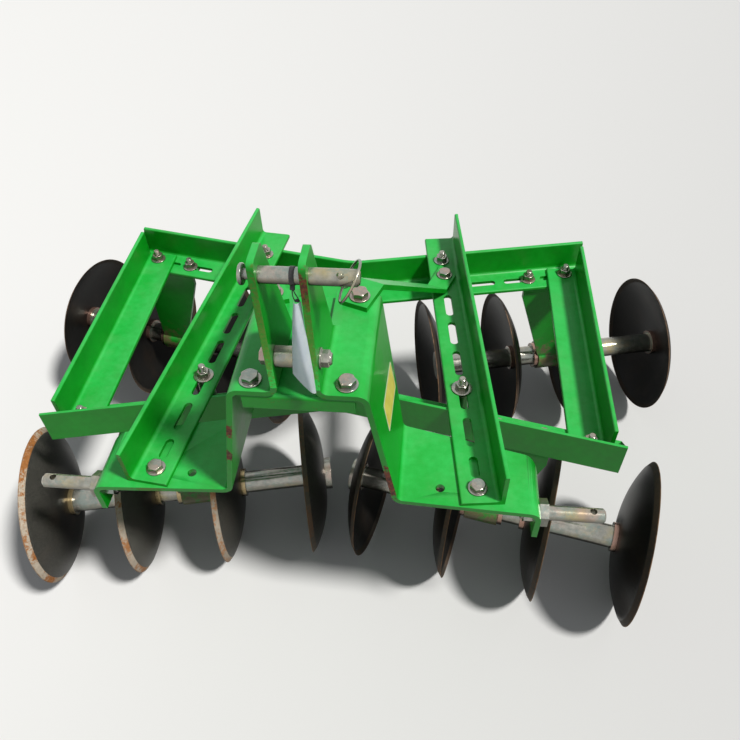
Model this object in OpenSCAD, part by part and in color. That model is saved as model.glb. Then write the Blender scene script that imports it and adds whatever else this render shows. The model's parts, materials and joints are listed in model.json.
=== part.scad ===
// Three-point tandem disc harrow: two V members of slotted steel angle under two toed-in beams,
// a pair of bent hitch plates in front, and four gangs of dished discs that turn freely.
// Front is toward -Y, up is +Z, the ground is z = 0 and the harrow is symmetric about x = 0.

/* [Discs] */
// Diameter of every disc
disc_d = 300; // [280:1:306]
// Thickness of a disc
disc_t = 3.2; // [2.5:0.1:4]
// Depth of the dish, from the hub face to the rim
dish_depth = 35; // [25:1:38]
// Diameter of the flat seat round the axle
disc_seat_d = 64; // [58:1:80]
// Width of the ground bevel at the rim
bevel_w = 9; // [5:1:14]
// Thickness left at the rim's edge
edge_t = 0.8; // [0.5:0.1:1.5]
// Number of discs on one gang
discs_per_gang = 4; // [4:1:4]
// Distance from disc to disc along the axle
disc_pitch = 165; // [155:1:175]

/* [Gangs] */
// Angle of the front gangs in plan, outer end forward
front_gang_deg = 12; // [8:0.5:14]
// Angle of the rear gangs in plan, outer end rearward
rear_gang_deg = 12.5; // [9:0.5:14]
// Distance of the innermost front hubs from the centre line
front_inner_x = 35.4; // [34:0.2:42]
// Distance of the front axles behind the front member's back
front_gang_set = 28.8; // [26:0.2:32]
// Distance of the innermost rear hubs from the centre line
rear_inner_x = 190.4; // [184:0.2:196]
// Distance of the rear axles ahead of the rear member's back
rear_gang_set = 30.8; // [28:0.2:34]
// Width across the flats of the square axle
axle_af = 25; // [22:0.5:27]
// Clearance round the axle's corners in the spools
spool_clear = 0.32; // [0.2:0.02:0.8]
// Wall of the spacer spools
spool_wall = 3.2; // [2.5:0.1:4]
// Diameter of the rings at the spool ends
ring_d = 54; // [50:1:58]
// Width of the rings at the spool ends
ring_w = 9; // [6:1:12]
// Outer diameter of the clamp washers at the axle ends
clamp_d = 62; // [54:1:70]
// Thickness of the axle's round head at the inner end
axle_head = 12; // [8:1:14]
// Thickness of the clamp washers
clamp_t = 6; // [4:0.5:8]
// Width across the flats of the axle nuts
axle_nut_af = 38; // [34:1:42]
// Height of the axle nuts
axle_nut_h = 20; // [16:1:22]
// Thread left past the axle nut
axle_tip = 6; // [3:1:10]

/* [Bearings] */
// Outer diameter of a bearing housing
housing_d = 62; // [58:1:66]
// Length of a bearing housing
housing_w = 62; // [54:1:70]
// Radial running clearance of the spool in its housing
running_gap = 0.05; // [0.03:0.01:0.1]
// Gap between a housing and the thrust ring beside it
thrust_gap = 0.5; // [0.3:0.1:1]
// Diameter of the thrust rings
thrust_d = 56; // [50:1:58]
// Width of the thrust rings
thrust_w = 8; // [5:1:12]

/* [Angle stock] */
// Leg of the rolled steel angle
leg = 63.5; // [58:0.5:64]
// Thickness of the rolled steel angle
leg_t = 6.35; // [5:0.05:7]
// Radius in the root of the angle
root_r = 7; // [4:0.5:9]
// Radius at the toes of the angle
toe_r = 3; // [1:0.5:4]
// Length of a slot in the angle stock
slot_len = 57; // [45:1:62]
// Width of a slot
slot_w = 13.5; // [11:0.5:16]
// Distance from slot to slot
slot_pitch = 75; // [70:1:80]
// Distance of the slots from the back of the angle
gauge = 36.5; // [34:0.5:38]

/* [Beams] */
// Height of the beams' undersides and of the members' top edges
beam_z = 435; // [430:1:445]
// Distance of a beam's outer front corner from the centre line
beam_x = 279; // [272:1:285]
// Setback of the beams' front ends from the origin plane
beam_y = 5; // [2:1:10]
// Length of a beam
beam_len = 638; // [630:1:650]
// Toe-in of each beam in plan, toward the rear
toe_deg = 6.8; // [6:0.1:7.5]
// Distance of the front bolt from the beam's front end
front_bolt_s = 25; // [20:1:32]
// Distance of the short slot's centre from the front end
short_slot_s = 63; // [60:1:68]
// Length of the short slot
short_slot_len = 38; // [30:1:42]
// Distance of the first long slot's centre from the front end
first_slot_s = 130; // [126:1:134]
// Number of long slots
beam_slots = 5; // [3:1:5]
// Distance of the brace bolt ahead of the rear bolt
brace_bolt_set = 55; // [50:1:62]

/* [Members] */
// Place of the front member's face on the centre line
front_v_y = 219; // [214:1:224]
// Bend of the front member in plan
front_v_deg = 12; // [10:0.5:13]
// Overhang of the front member past the side angles
front_over = 11; // [4:1:16]
// Place of the rear member's face on the centre line
rear_v_y = 557; // [552:1:562]
// Bend of the rear member in plan
rear_v_deg = 11.5; // [10:0.5:13]
// Overhang of the rear member past the side angles
rear_over = 2; // [0:1:8]
// Radius of the members' bends
member_bend_r = 110; // [60:1:160]
// Distance of the side angles' outer faces from the centre line
side_x = 457; // [440:1:465]
// Distance of the middle slot of each arm from the centre line, along the member
member_slot_s = 332.5; // [325:0.5:340]
// Number of slots in each arm
member_slots = 3; // [3:1:3]

/* [Hitch plates] */
// Thickness of the hitch plates
plate_t = 8; // [6:0.5:9]
// Inside radius of the plates' bends
bend_r = 9; // [6:1:12]
// Clear gap between the two ears
ear_gap = 46; // [44:1:54]
// Height of the arch, from the wings' upper face to the top flange's
arch_rise = 220; // [205:1:235]
// Outer width of the arch at its top
arch_top_w = 177; // [170:1:186]
// Outer width of the arch at the wings
arch_foot_w = 252; // [240:1:264]
// Distance of the wings' outer faces from the centre line
wing_x = 331; // [328:1:335]
// Drop of the outer flange below the wing's upper face
flange_drop = 58; // [54:1:66]
// Setback of the rear edge at the top flange
top_rear_y = 200; // [190:1:210]
// Setback of the rear edge where the arch meets the wing
foot_rear_y = 141; // [136:1:144]
// Setback of the rear edge at the wing's outer corner
wing_rear_y = 92; // [90:1:104]
// Radius of the wing's outer rear corner
wing_corner_r = 26; // [18:1:32]
// Forward reach of the wing's outer front corner
wing_v = 10; // [4:1:14]
// Height of the upper hitch pin over the top flange
upper_pin_rise = 177; // [165:1:195]
// Setback of the upper hitch pin from the plates' front edge plane
upper_pin_y = 8; // [4:1:14]
// Radius of the ear's rounded top
ear_top_r = 30; // [26:1:34]
// Setback of the ear's top round from the upper pin
ear_set = 4; // [0:1:6]
// Setback of the ear's rear edge at its base
ear_base_y = 118; // [110:1:130]
// Distance of the top bolts from the ears' outer faces
top_bolt_set = 30; // [27:1:33]
// Setback of the front top bolts
top_bolt_front_y = 19; // [16:1:24]
// Distance of the rear top bolts ahead of the top flange's rear edge
top_bolt_edge = 21; // [17:1:26]
// Diameter of the bolt holes
bolt_hole_d = 13.5; // [11:0.5:15]
// Distance of the spare wing holes from the centre line
wing_hole_x = 186; // [178:1:196]
// Setback of the spare wing holes
wing_hole_y = 26; // [22:1:34]

/* [Hitch pins] */
// Diameter of the lower hitch pins
lower_pin_d = 22.2; // [21:0.1:24]
// Drop of the lower hitch pins below the wings' upper face
lower_pin_drop = 32; // [31:0.5:36]
// Setback of the lower hitch pins
lower_pin_y = 17; // [14:1:24]
// Reach of a lower pin past its collar
lower_pin_len = 83; // [74:1:92]
// Width across the flats of the lower pin's collar
collar_af = 36; // [32:1:40]
// Width of the collar
collar_w = 13; // [8:0.5:16]
// Width across the flats of the lower pin's nut
lower_nut_af = 29; // [27:0.5:31]
// Thickness of the lower pin's nut
lower_nut_h = 14; // [10:0.5:16]
// Diameter of the upper hitch pin
upper_pin_d = 19; // [17:0.5:20]
// Length of the upper hitch pin under its head
upper_pin_len = 128; // [120:1:140]
// Diameter of the upper pin's head
upper_head_d = 32; // [28:1:36]
// Diameter of the linch pins' holes
linch_hole_d = 8; // [6:0.5:9]
// Diameter of the linch pin's ring
linch_ring_d = 46; // [40:1:52]
// Height of the mast bolt over the top flange
mast_bolt_rise = 47; // [40:1:54]
// Setback of the mast bolt
mast_bolt_y = 17; // [14:1:24]
// Diameter of the mast bolt
mast_bolt_d = 16; // [14:1:18]
// Width across the flats of the mast bolt's head and nut
mast_bolt_af = 24; // [22:1:27]
// Diameter of the mast bolt's washer
mast_washer_d = 34; // [30:1:38]
// Outer diameter of the spacer tube between the ears
mast_tube_d = 27; // [24:1:30]

/* [Hangers] */
// Thickness of the hanger plates
hanger_t = 8; // [6:0.5:9]
// Inside radius of the hanger's bend
hanger_bend_r = 6; // [3:0.5:8]
// Depth of the hanger's top flange
hanger_flange = 50; // [46:1:54]
// Distance of the hanger's front face ahead of the axle
hanger_reach = 24; // [22:0.5:26]
// Reach of the top flange from the gang's middle, along the slots
hanger_long = 92; // [90:1:100]
// Reach of the top flange from the gang's middle, the other way
hanger_short = 28; // [22:1:30]
// Radius of the top flange's free corners
hanger_corner_r = 16; // [8:1:22]
// Distance of the nearer flange bolt from the gang's middle
hanger_bolt_set = 4; // [0:0.5:10]
// Width of the hanger where it meets the housing
hanger_foot_w = 66; // [60:1:70]
// Height above the ground where the hanger's side begins to draw in
hanger_knee_z = 345; // [335:1:355]
// Height above the axle where the hanger has its foot width
hanger_neck = 18; // [10:1:40]

/* [Braces and sleeves] */
// Width of the brace straps
brace_w = 38; // [34:1:44]
// Thickness of the brace straps
brace_t = 8; // [6:0.5:9]
// Reach of a brace strap's flat past its bolt, toward its end
brace_end = 18; // [16:1:24]
// Reach of a brace strap's flat past its bolt, to the bend
brace_flat = 38; // [30:1:44]
// Slant of the brace strap's lower end
brace_cut_deg = 24; // [15:1:28]
// Outer diameter of the sleeves under the beams
sleeve_d = 26; // [22:1:28]
// Bore of the sleeves
sleeve_bore = 17; // [15:0.5:18]
// Distance of the front sleeves from the front member's back
front_sleeve_set = 46; // [42:1:48]
// Distance of the rear sleeves from the rear member's back
rear_sleeve_set = 32.4; // [30:0.2:36]
// Reach of the cross plate past the top bolts, to the sides
cross_side = 11; // [9:1:14]
// Reach of the cross plate past the rear top bolts
cross_rear = 14; // [10:1:18]
// Thickness of the cross plate
cross_t = 6; // [5:0.5:8]
// Depth of the cross plate's turned-down edge
cross_lip = 24; // [18:1:30]

/* [Hidden] */
$fn = 48;
eps = 0.01;
far = 2000;
paint = "#2fb845";
zinc = "#c9bfa0";
disc_steel = "#2b2724";
// Seat clearance between a pin or bolt and its drilled hole
pin_gap = 0.4;

// Heights and widths that follow from the sizes above
top_z = beam_z + arch_rise;
upper_pin_z = top_z + upper_pin_rise;
mast_bolt_z = top_z + mast_bolt_rise;
lower_pin_z = beam_z - lower_pin_drop;
top_bolt_x = ear_gap / 2 + plate_t + top_bolt_set;
top_bolt_rear_y = top_rear_y - top_bolt_edge;
front_half = side_x + front_over;
rear_half = side_x + rear_over;
spool_d = axle_af * sqrt(2) + 2 * (spool_clear + spool_wall);

// The origin is under the middle of the part; all setbacks are from the hitch plates' front edge
dish_end = dish_depth + disc_t / 2;
gang_half = disc_pitch * (discs_per_gang - 1) / 2;
front_gang_x = front_inner_x + gang_half * cos(front_gang_deg);
front_gang_y = front_v_y - front_gang_x * tan(front_v_deg) + front_gang_set / cos(front_v_deg);
rear_gang_x = rear_inner_x + gang_half * cos(rear_gang_deg);
rear_gang_y = rear_v_y + rear_gang_x * tan(rear_v_deg) - rear_gang_set / cos(rear_v_deg);
foremost_y = min(
    upper_pin_y + ear_set - ear_top_r,
    front_gang_y - (gang_half + dish_end) * sin(front_gang_deg) - disc_d / 2 * cos(front_gang_deg)
);
rearmost_y = rear_gang_y + (gang_half - dish_end + edge_t) * sin(rear_gang_deg)
    + disc_d / 2 * cos(rear_gang_deg);
origin_y = (foremost_y + rearmost_y) / 2;

module placed() {
    translate([0, -origin_y, 0]) children();
}

// Gang frame: the axle lies along local X with its middle at the origin, outer end toward +X
hub_z = disc_d / 2;

// Left pieces are the right ones mirrored in the centre plane
module left() {
    mirror([1, 0, 0]) children();
}

module at_front_gang() {
    translate([front_gang_x, front_gang_y, hub_z]) rotate([0, 0, -front_gang_deg]) children();
}

module at_rear_gang() {
    translate([rear_gang_x, rear_gang_y, hub_z]) rotate([0, 0, rear_gang_deg]) children();
}

// Lays a profile's axis along local +X instead of +Z
module along_x() {
    rotate([0, 90, 0]) children();
}

module hexagon(af, h) {
    cylinder(d = af / cos(30), h = h, $fn = 6);
}

// Angle section in its own plane: back at x = 0, heel at y = 0, legs toward +X and +Y
module angle_section() {
    difference() {
        square(leg);
        translate([leg_t + root_r, leg_t + root_r]) circle(r = root_r);
        translate([leg_t + root_r, leg_t]) square(leg);
        translate([leg_t, leg_t + root_r]) square(leg);
        toe_cut([leg, leg_t]);
        rotate(90) mirror([0, 1]) toe_cut([leg, leg_t]);
    }
}

// Corner taken off a toe whose outer corner is at p
module toe_cut(p) {
    translate(p - [toe_r, toe_r]) difference() {
        square(toe_r + eps);
        circle(r = toe_r);
    }
}

// Straight length of angle along local +X: vertical leg over y = 0, horizontal leg toward +Y
module angle_bar(length) {
    rotate([90, 0, 90]) linear_extrude(length) angle_section();
}

// Slot through a horizontal leg, centred at s along the bar
module slot(s, y, length) {
    translate([s, y, -eps]) linear_extrude(leg_t + 2 * eps) {
        square([length - slot_w, slot_w], center = true);
        for (end = [-1, 1]) translate([end * (length - slot_w) / 2, 0]) circle(d = slot_w);
    }
}

// Beam: local +X runs rearward from the front end
module beam() {
    translate([beam_x, beam_y, beam_z]) rotate([0, 0, 90 + toe_deg]) difference() {
        angle_bar(beam_len);
        for (i = [0 : beam_slots - 1]) slot(first_slot_s + i * slot_pitch, gauge, slot_len);
        slot(short_slot_s, gauge, short_slot_len);
        for (s = [front_bolt_s, brace_bolt_s, rear_bolt_s])
            translate([s, gauge, -eps]) cylinder(d = bolt_hole_d, h = leg_t + 2 * eps);
    }
}

// A place on the right beam's gauge line, s from its front end
function beam_point(s) = [
    beam_x - gauge * cos(toe_deg) - s * sin(toe_deg),
    beam_y - gauge * sin(toe_deg) + s * cos(toe_deg)
];

// A member's front or rear sleeve stands where the beam's gauge line crosses the member's leg
front_bolt_mid_s = (front_v_y - beam_y + front_sleeve_set / cos(front_v_deg)
    - (beam_x - gauge * cos(toe_deg)) * tan(front_v_deg) + gauge * sin(toe_deg))
    / (cos(toe_deg) - sin(toe_deg) * tan(front_v_deg));
rear_bolt_s = (rear_v_y - beam_y - rear_sleeve_set / cos(rear_v_deg)
    + (beam_x - gauge * cos(toe_deg)) * tan(rear_v_deg) + gauge * sin(toe_deg))
    / (cos(toe_deg) + sin(toe_deg) * tan(rear_v_deg));
brace_bolt_s = rear_bolt_s - brace_bolt_set;

// Points along a round corner or bend
bend_steps = 8;
function arc_points(centre, r, from, to, steps) =
    [for (i = [0 : steps]) centre + r * [cos(from + (to - from) * i / steps),
        sin(from + (to - from) * i / steps)]];

// The angle section as points, for the bent members
function angle_outline() = concat(
    [[0, 0], [leg, 0]],
    arc_points([leg - toe_r, leg_t - toe_r], toe_r, 0, 90, 3),
    arc_points([leg_t + root_r, leg_t + root_r], root_r, 270, 180, 4),
    arc_points([leg_t - toe_r, leg - toe_r], toe_r, 0, 90, 3),
    [[0, leg]]
);

// Stations of a bent member as [x, y, turn]: arm end, round bend, arm end
function member_stations(half, bend) =
    let (
        centre_y = -member_bend_r / cos(bend),
        end_y = -half * tan(bend)
    ) concat(
        [[-half, end_y, -bend]],
        [for (i = [0 : bend_steps]) let (a = bend * (2 * i / bend_steps - 1))
            [member_bend_r * sin(a), centre_y + member_bend_r * cos(a), a]],
        [[half, end_y, bend]]
    );

// V member: the backs of its arms meet at the origin, arms toward -Y by the bend angle
module v_member(half, bend) {
    outline = angle_outline();
    stations = member_stations(half, bend);
    n = len(outline);
    last = len(stations) - 1;
    difference() {
        polyhedron(
            points = [for (s = stations, p = outline)
                [s[0] + p[0] * sin(s[2]), s[1] + p[0] * cos(s[2]), p[1]]],
            faces = concat(
                [[for (i = [0 : n - 1]) i]],
                [for (k = [0 : last - 1], i = [0 : n - 1]) let (j = (i + 1) % n)
                    [k * n + i, (k + 1) * n + i, (k + 1) * n + j, k * n + j]],
                [[for (i = [n - 1 : -1 : 0]) last * n + i]]
            )
        );
        for (side = [0, 1]) mirror([side, 0, 0]) rotate([0, 0, -bend])
            for (i = [0 : member_slots - 1])
                slot(member_slot_s + (i - (member_slots - 1) / 2) * slot_pitch, gauge, slot_len);
    }
}

member_z = beam_z - leg;

// Bolts of a member's arm sit at the outer ends of its slots; i counts the slots from the middle
function member_bolt_s(i) = member_slot_s + (i - (member_slots - 1) / 2) * slot_pitch
    + (slot_len - slot_w) / 2;

// Side angle between the two members' corners, on their horizontal legs
side_clear = root_r + 0.3;
side_z = member_z + leg_t;
front_corner_y = front_v_y - front_half * tan(front_v_deg);
rear_corner_y = rear_v_y + rear_half * tan(rear_v_deg);

// The outermost slot bolts of both members, where the side angle's leg lies over the slots
corner_s = member_bolt_s(member_slots - 1);
front_corner_bolt = [
    corner_s * cos(front_v_deg) + gauge * sin(front_v_deg),
    front_v_y - corner_s * sin(front_v_deg) + gauge * cos(front_v_deg)
];
rear_corner_bolt = [
    corner_s * cos(rear_v_deg) + gauge * sin(rear_v_deg),
    rear_v_y + corner_s * sin(rear_v_deg) - gauge * cos(rear_v_deg)
];

module side_angle() {
    y0 = front_corner_y + leg_t / cos(front_v_deg) + leg * tan(front_v_deg) + side_clear;
    y1 = rear_corner_y - leg_t / cos(rear_v_deg) - leg * tan(rear_v_deg) - side_clear;
    difference() {
        translate([side_x, y0, side_z]) rotate([0, 0, 90]) angle_bar(y1 - y0);
        for (p = [front_corner_bolt, rear_corner_bolt])
            translate([p[0], p[1], side_z - eps]) cylinder(d = bolt_hole_d, h = leg_t + 2 * eps);
    }
}

// Hitch plate section, seen from the front
ear_in = ear_gap / 2;
foot_out = arch_foot_w / 2;
top_out = arch_top_w / 2;
wall_lean = atan2(foot_out - top_out, top_z - beam_z);
wall_turn = 90 - wall_lean;
ear_start_z = upper_pin_z + 2 * ear_top_r;

// The plate's bends as [centre, start angle, end angle, radius of the upper side, of the lower side]
plate_bends = [
    [[ear_in + plate_t + bend_r, top_z + bend_r], 180, 270, bend_r, bend_r + plate_t],
    [[top_out - (bend_r + plate_t) * tan(wall_turn / 2), top_z - plate_t - bend_r],
        90, wall_lean, bend_r + plate_t, bend_r],
    [[foot_out + bend_r * tan(wall_turn / 2), beam_z + bend_r],
        180 + wall_lean, 270, bend_r, bend_r + plate_t],
    [[wing_x - plate_t - bend_r, beam_z - plate_t - bend_r], 90, 0, bend_r + plate_t, bend_r]
];

// Section of the bent plate in the X-Z plane: ear, top flange, arch wall, wing and outer flange
module plate_section() {
    low = beam_z - flange_drop;
    polygon(concat(
        [[ear_in + plate_t, ear_start_z]],
        [for (b = plate_bends) each arc_points(b[0], b[3], b[1], b[2], bend_steps)],
        [[wing_x, low], [wing_x - plate_t, low]],
        [for (i = [3 : -1 : 0]) let (b = plate_bends[i])
            each arc_points(b[0], b[4], b[2], b[1], bend_steps)],
        [[ear_in, ear_start_z]]
    ));
}

// Side view of the ear in the Y-Z plane: a rounded top round the upper pin, wide at its base
module ear_side() {
    translate([0, top_z - plate_t]) square([top_rear_y, plate_t + eps]);
    tip = [upper_pin_y + ear_set, upper_pin_z];
    back = atan2(upper_pin_z - top_z, ear_base_y - tip[0] - ear_top_r);
    polygon([
        [0, top_z], tip - [ear_top_r, 0], tip + ear_top_r * [cos(90 - back), sin(90 - back)],
        [ear_base_y, top_z + bend_r], [ear_base_y + bend_r, top_z]
    ]);
    translate(tip) circle(r = ear_top_r, $fn = 72);
}

module hitch_plate() {
    difference() {
        intersection() {
            translate([0, far / 2, 0]) rotate([90, 0, 0]) linear_extrude(far) plate_section();
            union() {
                rotate([90, 0, 90]) linear_extrude(ear_in + plate_t + bend_r) ear_side();
                plate_plan();
            }
        }
        for (y = [top_bolt_front_y, top_bolt_rear_y])
            translate([top_bolt_x, y, top_z - 2 * plate_t]) cylinder(d = bolt_hole_d, h = 3 * plate_t);
        translate([wing_hole_x, wing_hole_y, beam_z - 2 * plate_t])
            cylinder(d = bolt_hole_d, h = 3 * plate_t);
        translate(concat(beam_point(front_bolt_s), beam_z - 2 * plate_t))
            cylinder(d = bolt_hole_d, h = 3 * plate_t);
        translate([wing_x - 2 * plate_t, lower_pin_y, lower_pin_z])
            along_x() cylinder(d = lower_pin_d + 2 * pin_gap, h = 3 * plate_t);
        translate([0, upper_pin_y, upper_pin_z])
            along_x() cylinder(d = upper_pin_d + 2 * pin_gap, h = 2 * ear_in + plate_t);
        translate([0, mast_bolt_y, mast_bolt_z])
            along_x() cylinder(d = mast_bolt_d + 2 * pin_gap, h = 2 * ear_in + plate_t);
    }
}

// Plan of everything below the ears: top flange, arch, wing and outer flange
module plate_plan() {
    low = beam_z - flange_drop - 1;
    lean = atan2(foot_rear_y - wing_rear_y, wing_x - foot_out);
    corner = [
        wing_x - wing_corner_r,
        wing_rear_y + wing_corner_r * tan(lean) - wing_corner_r / cos(lean)
    ];
    translate([0, 0, low]) linear_extrude(top_z + eps - low) polygon(concat(
        [[ear_in - 1, 0], [foot_out, 0], [wing_x + 1, -wing_v], [wing_x + 1, corner[1]]],
        arc_points(corner, wing_corner_r, 0, 90 - lean, bend_steps),
        [[foot_out, foot_rear_y], [top_out, top_rear_y], [ear_in - 1, top_rear_y]]
    ));
}

// Plate across under the top flanges, with its front edge turned down
module cross_plate() color(paint) placed() {
    z = top_z - plate_t - cross_t;
    half = top_bolt_x + cross_side;
    difference() {
        translate([-half, 0, 0]) rotate([90, 0, 90]) linear_extrude(2 * half) polygon(concat(
            [[1, z + cross_t - cross_lip], [1 + cross_t, z + cross_t - cross_lip]],
            [[1 + cross_t, z], [top_bolt_rear_y + cross_rear, z], [top_bolt_rear_y + cross_rear, z + cross_t]],
            arc_points([1 + cross_t, z], cross_t, 90, 180, bend_steps)
        ));
        for (side = [-1, 1], y = [top_bolt_front_y, top_bolt_rear_y])
            translate([side * top_bolt_x, y, z - cross_t]) cylinder(d = bolt_hole_d, h = 3 * cross_t);
    }
}

// Brace strap: flat on the top flange, down at a slope, flat on the beam's leg
brace_top = [top_bolt_x, top_bolt_rear_y];
brace_foot = beam_point(brace_bolt_s);
brace_run = norm(brace_foot - brace_top);
brace_turn = atan2(brace_foot[1] - brace_top[1], brace_foot[0] - brace_top[0]);
brace_drop = top_z - beam_z - leg_t;

module brace_strap() {
    slope = atan2(brace_drop, brace_run - 2 * brace_flat);
    k = brace_t * tan(slope / 2);
    translate([brace_top[0], brace_top[1], beam_z + leg_t]) rotate([0, 0, brace_turn]) difference() {
        rotate([90, 0, 0]) translate([0, 0, -brace_w / 2]) linear_extrude(brace_w) polygon([
            [-brace_end, brace_drop], [brace_flat - k, brace_drop], [brace_run - brace_flat - k, 0],
            [brace_run + brace_flat, 0], [brace_run + brace_flat, brace_t], [brace_run - brace_flat, brace_t],
            [brace_flat, brace_drop + brace_t], [-brace_end, brace_drop + brace_t]
        ]);
        for (p = [[0, brace_drop], [brace_run, 0]])
            translate([p[0], 0, p[1] - brace_t]) cylinder(d = bolt_hole_d, h = 3 * brace_t);
        translate([brace_run + brace_end, 0, -eps]) rotate([0, 0, -brace_cut_deg])
            translate([0, -brace_w, 0]) cube([2 * brace_w, 2 * brace_w, brace_t + 2 * eps]);
    }
}

// Sleeve standing on a member's horizontal leg under the beam
module sleeve(p) {
    translate([p[0], p[1], side_z]) difference() {
        cylinder(d = sleeve_d, h = beam_z - side_z);
        translate([0, 0, -eps]) cylinder(d = sleeve_bore, h = leg + 2 * eps);
    }
}

module front_sleeves() color(zinc) placed() {
    for (side = [0, 1]) mirror([side, 0, 0]) sleeve(beam_point(front_bolt_mid_s));
}

module rear_sleeves() color(zinc) placed() {
    for (side = [0, 1]) mirror([side, 0, 0]) sleeve(beam_point(rear_bolt_s));
}

// Hanger in the gang frame: a flange under the member, bent down to a plate that holds the housing.
// Its long side is toward local -X
module hanger() {
    z_top = member_z - hub_z;
    y0 = -hanger_reach;
    out_r = hanger_bend_r + hanger_t;
    bend_c = [y0 + out_r, z_top - out_r];
    difference() {
        intersection() {
            translate([-hanger_long, 0, 0]) rotate([90, 0, 90]) linear_extrude(hanger_long + hanger_short)
                polygon(concat(
                    [[y0, 0]],
                    arc_points(bend_c, out_r, 180, 90, bend_steps),
                    [[y0 + hanger_flange, z_top], [y0 + hanger_flange, z_top - hanger_t]],
                    arc_points(bend_c, hanger_bend_r, 90, 180, bend_steps),
                    [[y0 + hanger_t, 0]]
                ));
            hanger_front();
            hanger_plan(z_top);
        }
        translate([-far / 2, 0, 0]) along_x() cylinder(d = housing_d, h = far);
        for (x = [-hanger_bolt_set, -hanger_bolt_set - slot_pitch])
            translate([x, gauge - rear_gang_set, z_top - 2 * hanger_t])
                cylinder(d = bolt_hole_d, h = 3 * hanger_t);
    }
}

// Front view of the hanger: one side drawn in, from the flange's width to the foot's
module hanger_front() {
    z_top = member_z - hub_z;
    knee = hanger_knee_z - hub_z;
    translate([0, far / 2, 0]) rotate([90, 0, 0]) linear_extrude(far) polygon([
        [-hanger_long, z_top + eps], [hanger_short, z_top + eps], [hanger_short, knee],
        [hanger_foot_w / 2, hanger_neck], [hanger_foot_w / 2, 0],
        [-hanger_foot_w / 2, 0], [-hanger_foot_w / 2, hanger_neck], [-hanger_long, knee]
    ]);
}

// Plan of the hanger's flange, with its free corners rounded
module hanger_plan(z_top) {
    y1 = hanger_flange - hanger_reach;
    r = hanger_corner_r;
    linear_extrude(z_top + eps) polygon(concat(
        [[-hanger_long, -hanger_reach - 1], [max(hanger_short, hanger_foot_w / 2), -hanger_reach - 1],
            [max(hanger_short, hanger_foot_w / 2), 0], [hanger_short, 0]],
        arc_points([hanger_short - r, y1 - r], r, 0, 90, bend_steps),
        arc_points([r - hanger_long, y1 - r], r, 90, 180, bend_steps)
    ));
}

module bearing() {
    along_x() difference() {
        translate([0, 0, -housing_w / 2]) cylinder(d = housing_d, h = housing_w, $fn = 72);
        translate([0, 0, -housing_w / 2 - eps])
            cylinder(d = spool_d + 2 * running_gap, h = housing_w + 2 * eps, $fn = 72);
    }
}

// One dished disc: seat at the origin, hollow side toward local +X
dish_in = disc_seat_d / 2;

// Height of the dish over its seat at radius r
function dish_z(r) = r <= dish_in ? 0
    : (dish_ball - sqrt(dish_ball * dish_ball - (r - dish_in) * (r - dish_in)));
dish_span = disc_d / 2 - dish_in;
dish_ball = (dish_span * dish_span + dish_depth * dish_depth) / (2 * dish_depth);
dish_steps = 8;

module disc() {
    rim = disc_d / 2;
    radii = [for (i = [0 : dish_steps]) dish_in + (rim - bevel_w - dish_in) * i / dish_steps];
    difference() {
        along_x() rotate_extrude($fn = 96) polygon(concat(
            [[0, 0]],
            [for (r = radii) [r, dish_z(r)]],
            [[rim, dish_z(rim) + disc_t - edge_t], [rim, dish_z(rim) + disc_t]],
            [for (i = [dish_steps : -1 : 0]) [radii[i], dish_z(radii[i]) + disc_t]],
            [[0, disc_t]]
        ));
        axle_bar(4 * disc_t, axle_af + 0.6);
    }
}

// Square bar along local X, centred
module axle_bar(length, af) {
    cube([length, af, af], center = true);
}

// Four discs on a gang; hollow is +1 toward the outer end and -1 toward the inner
module discs(hollow) {
    for (i = [0 : discs_per_gang - 1])
        translate([-gang_half + i * disc_pitch - hollow * disc_t / 2, 0, 0])
            mirror([hollow < 0 ? 1 : 0, 0, 0]) disc();
}

// Spool from one disc to the next, with its end rings
module spool(x0, x1) {
    translate([x0, 0, 0]) along_x() difference() {
        union() {
            cylinder(d = spool_d, h = x1 - x0, $fn = 72);
            cylinder(d = ring_d, h = ring_w);
            translate([0, 0, x1 - x0 - ring_w]) cylinder(d = ring_d, h = ring_w);
        }
        translate([0, 0, -eps]) cylinder(d = spool_d - 2 * spool_wall, h = x1 - x0 + 2 * eps);
    }
}

module spools() {
    for (i = [0 : discs_per_gang - 2]) {
        x0 = -gang_half + i * disc_pitch + disc_t / 2;
        spool(x0, x0 + disc_pitch - disc_t);
    }
    for (side = [-1, 1]) translate([side * (housing_w / 2 + thrust_gap + thrust_w / 2), 0, 0])
        along_x() difference() {
            cylinder(d = thrust_d, h = thrust_w, center = true);
            cylinder(d = spool_d - eps, h = 2 * thrust_w, center = true);
        }
}

// Square axle with a round head at the inner end, a washer and a nut at the outer end
module axle() {
    end = gang_half + disc_t / 2;
    translate([-end - 1, -axle_af / 2, -axle_af / 2]) cube([2 * end + 2, axle_af, axle_af]);
    translate([-end, 0, 0]) rotate([0, -90, 0]) cylinder(d = clamp_d, h = axle_head);
    translate([end, 0, 0]) along_x() {
        cylinder(d = clamp_d, h = clamp_t);
        translate([0, 0, clamp_t]) hexagon(axle_nut_af, axle_nut_h);
        cylinder(d = axle_af - 2, h = clamp_t + axle_nut_h + axle_tip);
    }
}

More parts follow.
